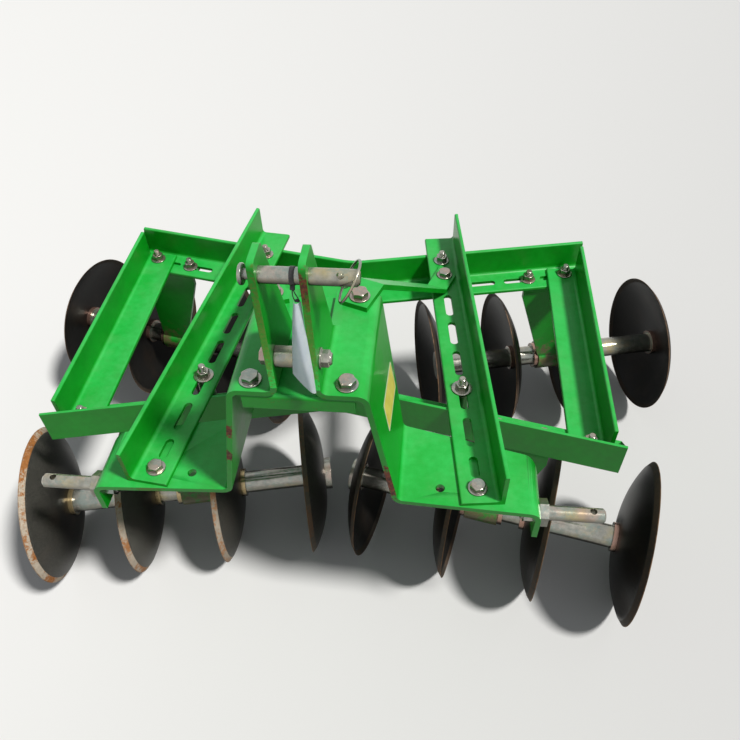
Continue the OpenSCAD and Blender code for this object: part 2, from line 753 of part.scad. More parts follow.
// Lower hitch pin: a collar against the outer flange, its thread and nut inside
module lower_pin() {
    tail = 4;
    tip = 3;
    translate([wing_x, lower_pin_y, lower_pin_z]) along_x() difference() {
        union() {
            hexagon(collar_af, collar_w);
            translate([0, 0, -plate_t - lower_nut_h - tail])
                cylinder(d = lower_pin_d, h = plate_t + lower_nut_h + tail + collar_w + lower_pin_len - tip);
            translate([0, 0, collar_w + lower_pin_len - tip])
                cylinder(d1 = lower_pin_d, d2 = lower_pin_d - 2 * tip, h = tip);
            translate([0, 0, -plate_t - lower_nut_h]) rotate(30) hexagon(lower_nut_af, lower_nut_h);
        }
        translate([0, 0, collar_w + lower_pin_len - 18]) rotate([0, 90, 0])
            cylinder(d = linch_hole_d + 2, h = 2 * lower_pin_d, center = true);
    }
}

upper_left = -ear_in - plate_t - 12;

module upper_pin() color(zinc) placed() {
    translate([upper_left, upper_pin_y, upper_pin_z]) along_x() difference() {
        union() {
            cylinder(d = upper_pin_d, h = upper_pin_len);
            translate([0, 0, -7]) cylinder(d = upper_head_d, h = 7);
        }
        translate([0, 0, upper_pin_len - 12]) rotate([0, 90, 0])
            cylinder(d = linch_hole_d + 1, h = 2 * upper_pin_d, center = true);
    }
}

module linch_pin() color(zinc) placed() {
    translate([upper_left + upper_pin_len - 12, upper_pin_y, upper_pin_z]) {
        translate([0, 0, -linch_ring_d / 2]) cylinder(d = linch_hole_d, h = linch_ring_d);
        along_x() rotate_extrude() translate([linch_ring_d / 2, 0]) circle(d = 3.5, $fn = 16);
    }
}

module mast_bolt() color(zinc) placed() {
    reach = ear_in + plate_t;
    translate([0, mast_bolt_y, mast_bolt_z]) along_x() {
        translate([0, 0, -reach]) cylinder(d = mast_bolt_d, h = 2 * reach + 22);
        translate([0, 0, -reach - 10]) hexagon(mast_bolt_af, 10);
        translate([0, 0, reach]) cylinder(d = mast_washer_d, h = 3);
        translate([0, 0, reach + 3]) hexagon(mast_bolt_af, 13);
    }
}

module mast_tube() color(zinc) placed() {
    translate([0, mast_bolt_y, mast_bolt_z]) along_x() difference() {
        cylinder(d = mast_tube_d, h = ear_gap - 0.6, center = true);
        cylinder(d = mast_bolt_d + 2 * pin_gap, h = 2 * ear_gap, center = true);
    }
}

module hitch_plate_left() color(paint) placed() left() hitch_plate();
module hitch_plate_right() color(paint) placed() hitch_plate();
module beam_left() color(paint) placed() left() beam();
module beam_right() color(paint) placed() beam();
module front_member() color(paint) placed() translate([0, front_v_y, member_z]) v_member(front_half, front_v_deg);
module rear_member() color(paint) placed() translate([0, rear_v_y, member_z]) rotate([0, 0, 180])
    v_member(rear_half, rear_v_deg);
module side_angle_left() color(paint) placed() left() side_angle();
module side_angle_right() color(paint) placed() side_angle();
module brace_left() color(paint) placed() left() brace_strap();
module brace_right() color(paint) placed() brace_strap();

module hanger_front_left() color(paint) placed() left() at_front_gang() left() hanger();
module hanger_front_right() color(paint) placed() at_front_gang() left() hanger();
module hanger_rear_left() color(paint) placed() left() at_rear_gang() hanger();
module hanger_rear_right() color(paint) placed() at_rear_gang() hanger();
module bearing_front_left() color(zinc) placed() left() at_front_gang() bearing();
module bearing_front_right() color(zinc) placed() at_front_gang() bearing();
module bearing_rear_left() color(zinc) placed() left() at_rear_gang() bearing();
module bearing_rear_right() color(zinc) placed() at_rear_gang() bearing();

module lower_pin_left() color(zinc) placed() left() lower_pin();
module lower_pin_right() color(zinc) placed() lower_pin();

module discs_front_left() color(disc_steel) placed() left() at_front_gang() discs(1);
module discs_front_right() color(disc_steel) placed() at_front_gang() discs(1);
module discs_rear_left() color(disc_steel) placed() left() at_rear_gang() discs(-1);
module discs_rear_right() color(disc_steel) placed() at_rear_gang() discs(-1);
module spools_front_left() color(zinc) placed() left() at_front_gang() spools();
module spools_front_right() color(zinc) placed() at_front_gang() spools();
module spools_rear_left() color(zinc) placed() left() at_rear_gang() spools();
module spools_rear_right() color(zinc) placed() at_rear_gang() spools();
module axle_front_left() color(zinc) placed() left() at_front_gang() axle();
module axle_front_right() color(zinc) placed() at_front_gang() axle();
module axle_rear_left() color(zinc) placed() left() at_rear_gang() axle();
module axle_rear_right() color(zinc) placed() at_rear_gang() axle();

hitch_plate_left();
hitch_plate_right();
cross_plate();
beam_left();
beam_right();
front_member();
rear_member();
side_angle_left();
side_angle_right();
brace_left();
brace_right();
front_sleeves();
rear_sleeves();
hanger_front_left();
hanger_front_right();
hanger_rear_left();
hanger_rear_right();
bearing_front_left();
bearing_front_right();
bearing_rear_left();
bearing_rear_right();
lower_pin_left();
lower_pin_right();
upper_pin();
linch_pin();
mast_bolt();
mast_tube();
discs_front_left();
discs_front_right();
discs_rear_left();
discs_rear_right();
spools_front_left();
spools_front_right();
spools_rear_left();
spools_rear_right();
axle_front_left();
axle_front_right();
axle_rear_left();
axle_rear_right();
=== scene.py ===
import json
import math

import bmesh
import bpy
from mathutils import Matrix, Vector


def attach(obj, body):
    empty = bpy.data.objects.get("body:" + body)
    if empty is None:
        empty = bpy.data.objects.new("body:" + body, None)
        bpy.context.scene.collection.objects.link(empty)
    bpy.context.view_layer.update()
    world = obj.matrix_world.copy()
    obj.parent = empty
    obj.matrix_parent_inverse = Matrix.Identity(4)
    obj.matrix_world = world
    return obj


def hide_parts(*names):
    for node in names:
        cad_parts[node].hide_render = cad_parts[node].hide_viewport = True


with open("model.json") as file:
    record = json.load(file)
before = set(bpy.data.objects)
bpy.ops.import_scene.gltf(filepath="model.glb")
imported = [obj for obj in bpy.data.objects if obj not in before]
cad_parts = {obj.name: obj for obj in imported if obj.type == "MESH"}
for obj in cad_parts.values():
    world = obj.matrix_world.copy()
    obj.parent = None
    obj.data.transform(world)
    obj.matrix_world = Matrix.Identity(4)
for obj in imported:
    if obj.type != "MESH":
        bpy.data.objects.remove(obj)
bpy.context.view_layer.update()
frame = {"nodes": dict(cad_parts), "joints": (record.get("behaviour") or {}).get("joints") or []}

# The viewpoint: someone standing in front of the harrow, a little to its right, looks down on it
# from chest height. The lens and the small shift put the picture's edges where they belong.
EYE = Vector((0.15895, -0.95670, 1.28879))
LOOK_TURN, LOOK_DOWN, LOOK_TILT = -0.12341, 0.82038, -0.04031
PICTURE, LENS_REACH, LENS_MIDDLE, SENSOR = 740, 698.61, (367.80, 383.35), 36


def placed(name, data):
    """An object at the origin of the scene."""
    made = bpy.data.objects.new(name, data)
    bpy.context.scene.collection.objects.link(made)
    return made


ahead = Vector((math.sin(LOOK_TURN) * math.cos(LOOK_DOWN), math.cos(LOOK_TURN) * math.cos(LOOK_DOWN),
                -math.sin(LOOK_DOWN)))
level = Vector((math.cos(LOOK_TURN), -math.sin(LOOK_TURN), 0))
over = level.cross(ahead)
across = math.cos(LOOK_TILT) * level + math.sin(LOOK_TILT) * over
upward = -math.sin(LOOK_TILT) * level + math.cos(LOOK_TILT) * over
camera_data = bpy.data.cameras.new("viewpoint")
camera_data.sensor_width = SENSOR
camera_data.lens = LENS_REACH / PICTURE * SENSOR
camera_data.shift_x = (PICTURE / 2 - LENS_MIDDLE[0]) / PICTURE
camera_data.shift_y = (LENS_MIDDLE[1] - PICTURE / 2) / PICTURE
camera_data.clip_start, camera_data.clip_end = 0.05, 60
camera = placed("viewpoint", camera_data)
camera.matrix_world = Matrix.Translation(EYE) @ Matrix((across, upward, -ahead)).transposed().to_4x4()
bpy.context.scene.camera = camera
bpy.context.scene.view_settings.view_transform = "Standard"


# The yard floor: a plain pale slab, so large that no edge of it shows. One broad soft lamp stands
# high on the right, and the pale room fills the shadows.
def new_finish(name):
    """An empty material and its node tree."""
    material = bpy.data.materials.new(name)
    material.use_nodes = True
    material.node_tree.nodes.clear()
    return material, material.node_tree


def join(tree, out, into):
    """Links a socket or a node's first output to an input, or sets the input to a plain value."""
    if isinstance(out, bpy.types.Node):
        out = out.outputs[0]
    if isinstance(out, bpy.types.NodeSocket):
        tree.links.new(out, into)
    else:
        into.default_value = out


def node(tree, kind, settings=None, **inputs):
    """A node with its settings and its inputs; an underscore in an input's name is a space."""
    made = tree.nodes.new(kind)
    for key, value in (settings or {}).items():
        setattr(made, key, value)
    for key, value in inputs.items():
        name = key.replace("_", " ")
        join(tree, value, made.inputs[int(name[1:]) if name[0] == "n" and name[1:].isdigit() else name])
    return made


def sum_up(tree, operation, a, b=0.0, c=0.0, clamp=False):
    """One arithmetic node."""
    made = tree.nodes.new("ShaderNodeMath")
    made.operation, made.use_clamp = operation, clamp
    for socket, value in zip(made.inputs, (a, b, c)):
        join(tree, value, socket)
    return made.outputs[0]


def tint(tree, amount, below, above):
    """Mixes two colours by a mask."""
    made = tree.nodes.new("ShaderNodeMix")
    made.data_type = "RGBA"
    join(tree, amount, made.inputs[0])
    for value, socket in ((below, made.inputs[6]), (above, made.inputs[7])):
        join(tree, value if isinstance(value, bpy.types.NodeSocket) else (*value, 1), socket)
    return made.outputs[2]


def seen_ray(tree):
    """1 where a ray comes from the camera, a gloss or a glass, and 0 where it only carries soft light."""
    ray = node(tree, "ShaderNodeLightPath").outputs
    one = sum_up(tree, "MAXIMUM", ray["Is Camera Ray"], ray["Is Glossy Ray"])
    return sum_up(tree, "MAXIMUM", one, ray["Is Transmission Ray"])


def show(tree, shader):
    """Gives a finish its shader."""
    node(tree, "ShaderNodeOutputMaterial", Surface=shader)


slab_paint, slab = new_finish("pale slab")
slab_colour = tint(slab, seen_ray(slab), (0.26, 0.26, 0.25), (0.79, 0.79, 0.78))
slab_diffuse = node(slab, "ShaderNodeBsdfDiffuse", Roughness=0.6, Color=slab_colour)
show(slab, slab_diffuse)
floor_mesh = bpy.data.meshes.new("floor")
floor_mesh.from_pydata([(-14, -10, 0), (14, -10, 0), (14, 18, 0), (-14, 18, 0)], [], [(0, 1, 2, 3)])
floor_mesh.materials.append(slab_paint)
floor = placed("floor", floor_mesh)

lamp_data = bpy.data.lights.new("soft lamp", "SUN")
lamp_data.energy = 3.1
lamp_data.angle = math.radians(7)
lamp_data.color = (1.0, 0.985, 0.96)
lamp = placed("soft lamp", lamp_data)
lamp.rotation_euler = Vector((0.50, -0.20, 0.84)).to_track_quat("Z", "Y").to_euler()
room = bpy.data.worlds.new("pale room")
room.use_nodes = True
sky = room.node_tree.nodes["Background"].inputs
sky["Color"].default_value = (0.93, 0.96, 1.0, 1)
sky_level = sum_up(room.node_tree, "MULTIPLY_ADD", seen_ray(room.node_tree), 0.62, 0.24)
join(room.node_tree, sky_level, sky["Strength"])
bpy.context.scene.world = room


# Effects that more than one finish of the harrow shares: rubbed and rounded edges (the green enamel also
# lightens them as a painted highlight), dust that settles on upward faces, blotches, and a front edge
# where the paint is worn through.
def new_group(name, inputs, outputs, kind="ShaderNodeTree"):
    """An empty node group with its inputs (name, kind, value) and outputs (name, kind)."""
    tree = bpy.data.node_groups.new(name, kind)
    for title, sort, value in inputs:
        socket = tree.interface.new_socket(title, in_out="INPUT", socket_type="NodeSocket" + sort)
        if value is not None:
            socket.default_value = value
    for title, sort in outputs:
        tree.interface.new_socket(title, in_out="OUTPUT", socket_type="NodeSocket" + sort)
    return tree, tree.nodes.new("NodeGroupInput").outputs, tree.nodes.new("NodeGroupOutput").inputs


def times(tree, a, b, clamp=False):
    """One value times another."""
    return sum_up(tree, "MULTIPLY", a, b, clamp=clamp)


def times_plus(tree, a, b, c):
    """One value times another, plus a third."""
    return sum_up(tree, "MULTIPLY_ADD", a, b, c)


def own_place(tree):
    """The piece's own coordinates."""
    return node(tree, "ShaderNodeTexCoord").outputs["Object"]


def looks_along(tree, axis):
    """How far a face looks along X, Y or Z."""
    normal = node(tree, "ShaderNodeNewGeometry").outputs["Normal"]
    return node(tree, "ShaderNodeSeparateXYZ", Vector=normal).outputs[axis]


def ramp(tree, value, low, high, to_low=0.0, to_high=1.0):
    """A smooth step from low to high."""
    made = node(tree, "ShaderNodeMapRange", {"interpolation_type": "SMOOTHSTEP"}, Value=value,
                From_Min=low, From_Max=high, To_Min=to_low, To_Max=to_high)
    return made.outputs[0]


def grain(tree, place, scale, detail=3.0, rough=0.55):
    """Fractal noise at a place, as a value about 0.5."""
    made = node(tree, "ShaderNodeTexNoise", Vector=place, Scale=scale, Detail=detail, Roughness=rough)
    return made.outputs["Fac"]


edges, e_in, e_out = new_group("rubbed and highlit edges", [("Radius", "Float", 0.0015), ("Ragged", "Float", 0.5)],
                               [("Edge", "Float"), ("Normal", "Vector")])
rounded = node(edges, "ShaderNodeBevel", {"samples": 5}, Radius=e_in["Radius"])
flat = node(edges, "ShaderNodeNewGeometry")
facing = node(edges, "ShaderNodeVectorMath", {"operation": "DOT_PRODUCT"},
              n0=rounded, n1=flat.outputs["Normal"])
bent = ramp(edges, sum_up(edges, "SUBTRACT", 1.0, facing.outputs["Value"]), 0.01, 0.22)
edge_place = own_place(edges)
broken = ramp(edges, grain(edges, edge_place, 70.0), 0.36, 0.62)
kept = times_plus(edges, broken, e_in["Ragged"], sum_up(edges, "SUBTRACT", 1.0, e_in["Ragged"]))
join(edges, times(edges, bent, kept), e_out["Edge"])
join(edges, rounded, e_out["Normal"])

dust, d_in, d_out = new_group("settled dust", [("Amount", "Float", 0.5), ("Scale", "Float", 30.0)],
                              [("Dust", "Float")])
dust_place = own_place(dust)
upward_face = ramp(dust, looks_along(dust, "Z"), 0.1, 0.95, 0.12, 1.0)
dust_patch = ramp(dust, grain(dust, dust_place, d_in["Scale"], 6.0, 0.6), 0.40, 0.72)
dust_speck = ramp(dust, grain(dust, dust_place, 420.0, 2.0), 0.56, 0.72)
dust_both = times_plus(dust, dust_speck, 0.5, dust_patch)
settled = times(dust, times(dust, dust_both, upward_face), d_in["Amount"], clamp=True)
join(dust, settled, d_out["Dust"])

blotch, b_in, b_out = new_group("blotches", [("Scale", "Float", 12.0)],
                                [("Tone", "Float"), ("Height", "Float")])
blotch_place = own_place(blotch)
coarse = grain(blotch, blotch_place, b_in["Scale"], 4.0)
fine = grain(blotch, blotch_place, times(blotch, b_in["Scale"], 9.0), 3.0)
blend_tone = times_plus(blotch, fine, 0.35, times(blotch, coarse, 0.65))
join(blotch, ramp(blotch, blend_tone, 0.32, 0.66), b_out["Tone"])
join(blotch, fine, b_out["Height"])

worn, w_in, w_out = new_group("worn front edge", [
    ("Middle", "Vector", (0, 0, 0)), ("Reach", "Vector", (0.01, 0.01, 0.02)), ("Ragged", "Float", 0.5)],
    [("Bare", "Float")])
worn_place = own_place(worn)
offset = node(worn, "ShaderNodeVectorMath", {"operation": "SUBTRACT"}, n0=worn_place, n1=w_in["Middle"])
share = node(worn, "ShaderNodeVectorMath", {"operation": "DIVIDE"}, n0=offset, n1=w_in["Reach"])
apart = node(worn, "ShaderNodeVectorMath", {"operation": "LENGTH"}, n0=share).outputs["Value"]
crumbs = sum_up(worn, "SUBTRACT", grain(worn, worn_place, 190.0, 5.0, 0.65), 0.5)
ragged_depth = times_plus(worn, crumbs, times(worn, w_in["Ragged"], 5.0),
                      sum_up(worn, "SUBTRACT", 1.0, apart))
looks_ahead = times(worn, looks_along(worn, "Y"), -1.0)
bare_front = times(worn, ramp(worn, ragged_depth, 0.0, 0.35), ramp(worn, looks_ahead, 0.45, 0.75))
join(worn, bare_front, w_out["Bare"])


def use(tree, group, **inputs):
    """Places a shared effect in a material."""
    made = tree.nodes.new("ShaderNodeGroup")
    made.node_tree = group
    for key, value in inputs.items():
        join(tree, value, made.inputs[key])
    return made.outputs


# The steel angle: two members bent to a V, two beams over them and a short angle at each side.
# Hot-rolled stock, slotted for the bolts, sprayed bright green and dusty from the yard.
def green_enamel(name, dirt, wear=()):
    """Green enamel; wear lists (middle, reach, "rust" or "olive") where a front edge is rubbed."""
    material, tree = new_finish(name)
    rim = use(tree, edges, Radius=0.0012, Ragged=0.6)
    tone = use(tree, blotch, Scale=9.0)
    dusty = use(tree, dust, Amount=dirt, Scale=22.0)
    place = own_place(tree)
    # Painted light and shade: faces that look up get a lighter, sunlit green, and all other faces a darker,
    # shaded green.
    lit_top_share = ramp(tree, looks_along(tree, "Z"), 0.25, 0.95)
    streaky = node(tree, "ShaderNodeMapping", Vector=place, Scale=(14, 14, 60))
    smear = grain(tree, streaky, 1.0, 5.0)
    shaded_side_green = tint(tree, tone["Tone"], (0.0015, 0.265, 0.007), (0.003, 0.345, 0.014))
    lit_top_green = tint(tree, tone["Tone"], (0.012, 0.440, 0.045), (0.030, 0.545, 0.090))
    colour = tint(tree, lit_top_share, shaded_side_green, lit_top_green)
    colour = tint(tree, times(tree, ramp(tree, smear, 0.50, 0.78), 0.35), colour, (0.010, 0.270, 0.020))
    # Painted highlight, and paint worn thin: edges are lightened toward the sunlit green.
    colour = tint(tree, times(tree, rim["Edge"], 0.40), colour, (0.050, 0.600, 0.110))
    colour = tint(tree, times(tree, dusty["Dust"], 0.20), colour, (0.30, 0.46, 0.26))
    rough = times_plus(tree, tone["Tone"], 0.08, 0.30)
    rough = times_plus(tree, dusty["Dust"], 0.22, rough)
    for middle, reach, kind in wear:
        bare = use(tree, worn, Middle=middle, Reach=reach, Ragged=0.5 if kind == "rust" else 1.0)["Bare"]
        speck = ramp(tree, grain(tree, place, 260.0, 4.0), 0.35, 0.65)
        if kind == "rust":
            under = tint(tree, speck, (0.055, 0.014, 0.009), (0.200, 0.050, 0.022))
        else:
            under = tint(tree, speck, (0.045, 0.190, 0.012), (0.120, 0.160, 0.022))
            bare = times(tree, bare, 0.75)
        colour = tint(tree, bare, colour, under)
        rough = times_plus(tree, bare, 0.30, rough)
    peel = grain(tree, place, 520.0, 2.0)
    bump = node(tree, "ShaderNodeBump", Strength=0.10, Distance=0.0006, Height=peel, Normal=rim["Normal"])
    rough = sum_up(tree, "MINIMUM", rough, 0.9)
    paint = node(tree, "ShaderNodeBsdfPrincipled", Base_Color=colour, Roughness=rough, Normal=bump,
                 Specular_IOR_Level=0.32, Coat_Weight=0.10, Coat_Roughness=0.15)
    show(tree, paint)
    return material


def finish_node(name, material):
    """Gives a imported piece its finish."""
    mesh = frame["nodes"][name].data
    mesh.materials.clear()
    mesh.materials.append(material)


DATUM = 0.39387
beam_wear = [((-0.277, 0.004 - DATUM, 0.470), (0.016, 0.012, 0.034), "olive")]
angle_paint = green_enamel("green enamel on angle", 0.55, beam_wear)
for name in ("front_member", "rear_member", "beam_left", "beam_right", "side_angle_left", "side_angle_right"):
    finish_node(name, angle_paint)


# The hitch: a pair of plates, each bent from one blank into ear, top, wall, wing and outer flange,
# joined by a cross plate, with two straps that brace them to the beams. Their painted front edges
# are rubbed through in places, to rust or to a thin olive coat.
hitch_wear = [
    ((0.027, -DATUM, 0.824), (0.020, 0.02, 0.030), "rust"),
    ((0.027, -DATUM, 0.745), (0.020, 0.02, 0.075), "olive"),
    ((-0.027, -DATUM, 0.765), (0.020, 0.02, 0.095), "olive"),
    ((0.116, -DATUM, 0.478), (0.024, 0.02, 0.042), "rust"),
    ((-0.104, -DATUM, 0.574), (0.014, 0.02, 0.016), "rust"),
    ((-0.114, -DATUM, 0.518), (0.014, 0.02, 0.014), "rust"),
    ((-0.245, -DATUM - 0.01, 0.432), (0.030, 0.03, 0.010), "olive"),
]
hitch_paint = green_enamel("green enamel on hitch", 0.45, hitch_wear)
for name in ("cross_plate", "brace_left", "brace_right"):
    finish_node(name, hitch_paint)


def smooth_piece(name, shape, material, sharp=35):
    """Makes a shape a piece at the origin, smooth but for its sharp edges."""
    bmesh.ops.remove_doubles(shape, verts=shape.verts, dist=1e-7)
    bmesh.ops.recalc_face_normals(shape, faces=shape.faces)
    mesh = bpy.data.meshes.new(name)
    shape.to_mesh(mesh)
    shape.free()
    mesh.materials.append(material)
    mesh.shade_smooth()
    mesh.set_sharp_from_angle(angle=math.radians(sharp))
    return placed(name, mesh)


def arc(middle, radius, begin, end, steps=8):
    """Points on an arc, with its angles in degrees."""
    turns = [math.radians(begin + (end - begin) * i / steps) for i in range(steps + 1)]
    return [(middle[0] + radius * math.cos(a), middle[1] + radius * math.sin(a)) for a in turns]


def walls(shape, a, b):
    """Closes the strip between two loops of corners."""
    for i in range(len(a)):
        j = (i + 1) % len(a)
        shape.faces.new((a[i], a[j], b[j], b[i]))


def slab_across(outline, x0, x1):
    """A plate that lies across X; its outline is given as (setback, height)."""
    shape = bmesh.new()
    near, far_side = [[shape.verts.new((x, y - DATUM, z)) for y, z in outline] for x in (x0, x1)]
    walls(shape, near, far_side)
    shape.faces.new(near)
    shape.faces.new(far_side[::-1])
    return smooth_piece("blank", shape, hitch_paint)


def work(piece, tool, operation):
    """Joins or cuts one closed shape by another and keeps a plain mesh."""
    step = piece.modifiers.new("work", "BOOLEAN")
    step.operation, step.solver, step.object = operation, "EXACT", tool
    mesh = bpy.data.meshes.new_from_object(piece.evaluated_get(bpy.context.evaluated_depsgraph_get()))
    piece.modifiers.clear()
    piece.data = mesh
    bpy.data.objects.remove(tool)


PIN_SETBACK, PIN_HEIGHT, PIN_BORE = 0.008, 0.832, 0.0099
BOLT_SETBACK, BOLT_HEIGHT, BOLT_BORE = 0.017, 0.702, 0.0084
EAR_FOOT, EAR_TOP, EAR_LEAN, EAR_CORNER = 0.664, 0.8565, 0.007, 0.009
EAR_FOOT_FRONT, EAR_TOP_REAR, EAR_FOOT_REAR = -0.0009, 0.033, 0.118
ear_slope = math.degrees(math.atan2(EAR_TOP - EAR_FOOT, EAR_FOOT_REAR - EAR_TOP_REAR))
rear_corner = EAR_TOP_REAR - EAR_CORNER * math.tan(math.radians(ear_slope / 2))
ear_outline = [(EAR_FOOT_FRONT, EAR_FOOT)]
ear_outline += arc((EAR_CORNER - EAR_LEAN, EAR_TOP - EAR_CORNER), EAR_CORNER, 180, 90)
ear_outline += arc((rear_corner, EAR_TOP - EAR_CORNER), EAR_CORNER, 90, 90 - ear_slope)
ear_outline.append((EAR_FOOT_REAR, EAR_FOOT))
cut_height = EAR_FOOT + 0.0005
old_ear = [(-0.06, cut_height), (0.20, cut_height), (0.20, 0.95), (-0.06, 0.95)]
for side in ("left", "right"):
    shape = bmesh.new()
    shape.from_mesh(frame["nodes"][f"hitch_plate_{side}"].data)
    plate = smooth_piece(f"bent_plate_{side}", shape, hitch_paint, 30)
    across_ear = [v.co.x for v in plate.data.vertices if v.co.z > EAR_FOOT + 0.02]
    ear_faces = min(across_ear), max(across_ear)
    work(plate, slab_across(old_ear, ear_faces[0] - 0.02, ear_faces[1] + 0.02), "DIFFERENCE")
    work(plate, slab_across(ear_outline, *ear_faces), "UNION")
    for middle, radius in (((PIN_SETBACK, PIN_HEIGHT), PIN_BORE), ((BOLT_SETBACK, BOLT_HEIGHT), BOLT_BORE)):
        bore = slab_across(arc(middle, radius, 0, 352.5, 47), ear_faces[0] - 0.01, ear_faces[1] + 0.01)
        work(plate, bore, "DIFFERENCE")
    plate.data.shade_smooth()
    plate.data.set_sharp_from_angle(angle=math.radians(30))
    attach(plate, "frame")
    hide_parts(f"hitch_plate_{side}")


# The hangers and the bearing housings welded to their feet carry the gangs under the members.
# Painted with the frame, and splashed with soil where they come near the ground.
def soiled_enamel(name):
    """The frame's enamel with dried soil that thickens toward the ground."""
    material = green_enamel(name, 0.6)
    tree = material.node_tree
    paint = next(n for n in tree.nodes if n.type == "BSDF_PRINCIPLED")
    under = paint.inputs["Base Color"].links[0].from_socket
    place = own_place(tree)
    height = node(tree, "ShaderNodeSeparateXYZ", Vector=place).outputs["Z"]
    thick = times_plus(tree, ramp(tree, height, 0.30, 0.12), 0.42, grain(tree, place, 60.0, 7.0, 0.65))
    clods = ramp(tree, thick, 0.72, 0.92)
    soil = tint(tree, grain(tree, place, 200.0, 3.0), (0.10, 0.060, 0.030), (0.28, 0.19, 0.11))
    tree.links.new(tint(tree, times(tree, clods, 0.85), under, soil), paint.inputs["Base Color"])
    return material


hanger_paint = soiled_enamel("green enamel on hangers")
for end in ("front", "rear"):
    for side in ("left", "right"):
        finish_node(f"hanger_{end}_{side}", hanger_paint)
        finish_node(f"bearing_{end}_{side}", hanger_paint)


# Plated hardware: the sleeves between beam and member, the lower hitch pins and the mast's spacer
# tube. Turned steel, zinc passivated yellow, which mottles to pink, straw and grey as it weathers.
def about_axle(tree, middle, turn):
    """A gang's own coordinates, its parts, and the distance from its axle."""
    gang = node(tree, "ShaderNodeMapping", {"vector_type": "TEXTURE"}, Vector=own_place(tree),
                Location=middle, Rotation=(0, 0, turn))
    part = node(tree, "ShaderNodeSeparateXYZ", Vector=gang).outputs
    flat_place = node(tree, "ShaderNodeCombineXYZ", Y=part["Y"], Z=part["Z"])
    radius = node(tree, "ShaderNodeVectorMath", {"operation": "LENGTH"}, n0=flat_place).outputs["Value"]
    return gang, part, radius


def yellow_zinc(name, pink, straw, dull, stain, collars=None):
    """Mottled zinc plate; pink and straw say how much of each tint shows, stain how much brown dirt.

    collars gives a gang's middle and turn and the colour of its spools' raised rings.
    """
    material, tree = new_finish(name)
    rim = use(tree, edges, Radius=0.0008, Ragged=0.4)
    large = use(tree, blotch, Scale=34.0)
    small = use(tree, blotch, Scale=120.0)
    dusty = use(tree, dust, Amount=0.5, Scale=60.0)
    place = own_place(tree)
    colour = tint(tree, small["Tone"], (0.31, 0.30, 0.255), (0.48, 0.46, 0.39))
    aside = node(tree, "ShaderNodeMapping", Vector=place, Location=(3.1, 1.7, 0.4))
    for where, scale, much, shade in ((place, 30.0, pink, (0.54, 0.33, 0.26)),
                                      (aside, 26.0, straw, (0.56, 0.45, 0.18))):
        patch = ramp(tree, grain(tree, where, scale, 3.0, 0.5), 0.66 - 0.26 * much, 0.86 - 0.10 * much)
        colour = tint(tree, times(tree, patch, 0.7), colour, shade)
    colour = tint(tree, ramp(tree, large["Tone"], 0.45, 1.0, 0.0, 0.5), colour, (0.25, 0.36, 0.32))
    if collars:
        middle, turn, ring_colour = collars
        radius = about_axle(tree, middle, turn)[2]
        colour = tint(tree, ramp(tree, radius, 0.0245, 0.0262, 0.0, 0.85), colour, ring_colour)
    brown = ramp(tree, grain(tree, place, 160.0, 6.0, 0.7), 0.72 - 0.16 * stain, 0.92 - 0.14 * stain)
    colour = tint(tree, times(tree, brown, 0.6), colour, (0.13, 0.085, 0.05))
    colour = tint(tree, times(tree, rim["Edge"], 0.25), colour, (0.70, 0.68, 0.60))
    colour = tint(tree, times(tree, dusty["Dust"], 0.12), colour, (0.40, 0.37, 0.30))
    # Painted shade: faces that look down are darkened toward a dark brown.
    under = ramp(tree, looks_along(tree, "Z"), -0.50, 0.55)
    colour = tint(tree, under, (0.050, 0.046, 0.034), colour)
    rough = times_plus(tree, small["Tone"], 0.08, times_plus(tree, brown, 0.2, dull))
    metal = sum_up(tree, "SUBTRACT", 0.80, times(tree, brown, 0.5), clamp=True)
    bump = node(tree, "ShaderNodeBump", Strength=0.25, Distance=0.0003, Height=small["Height"],
                Normal=rim["Normal"])
    plate = node(tree, "ShaderNodeBsdfPrincipled", Base_Color=colour, Roughness=rough, Metallic=metal,
                 Normal=bump)
    show(tree, plate)
    return material


sleeve_zinc = yellow_zinc("zinc on sleeves", pink=0.5, straw=0.6, dull=0.26, stain=0.6)
pin_zinc = yellow_zinc("zinc on hitch pins", pink=0.7, straw=0.8, dull=0.18, stain=0.7)
for name in ("front_sleeves", "rear_sleeves"):
    finish_node(name, sleeve_zinc)
for name in ("lower_pin_left", "lower_pin_right", "mast_tube"):
    finish_node(name, pin_zinc)


# The top link pin: a turned and plated pin with a necked head, pushed through both ears from the
# left and pulled out by hand.
def spin_solid(shape, outline, segments, matrix, hole=None):
    """Spins a closed outline of (x, r) about local X; hole makes its inner loops a square hole."""
    rings = []
    for step in range(segments):
        a = 2 * math.pi * step / segments
        c, s = math.cos(a), math.sin(a)
        ring = []
        for x, r in outline:
            if hole and r <= hole:
                r = hole / 2 / max(abs(c), abs(s))
            ring.append(shape.verts.new(matrix @ Vector((x, r * c, r * s))))
        rings.append(ring)
    count = len(outline)
    for step in range(segments):
        a, b = rings[step], rings[(step + 1) % segments]
        for i in range(count):
            j = (i + 1) % count
            if outline[i][1] or outline[j][1]:
                shape.faces.new((a[i], b[i], b[j], a[j]))


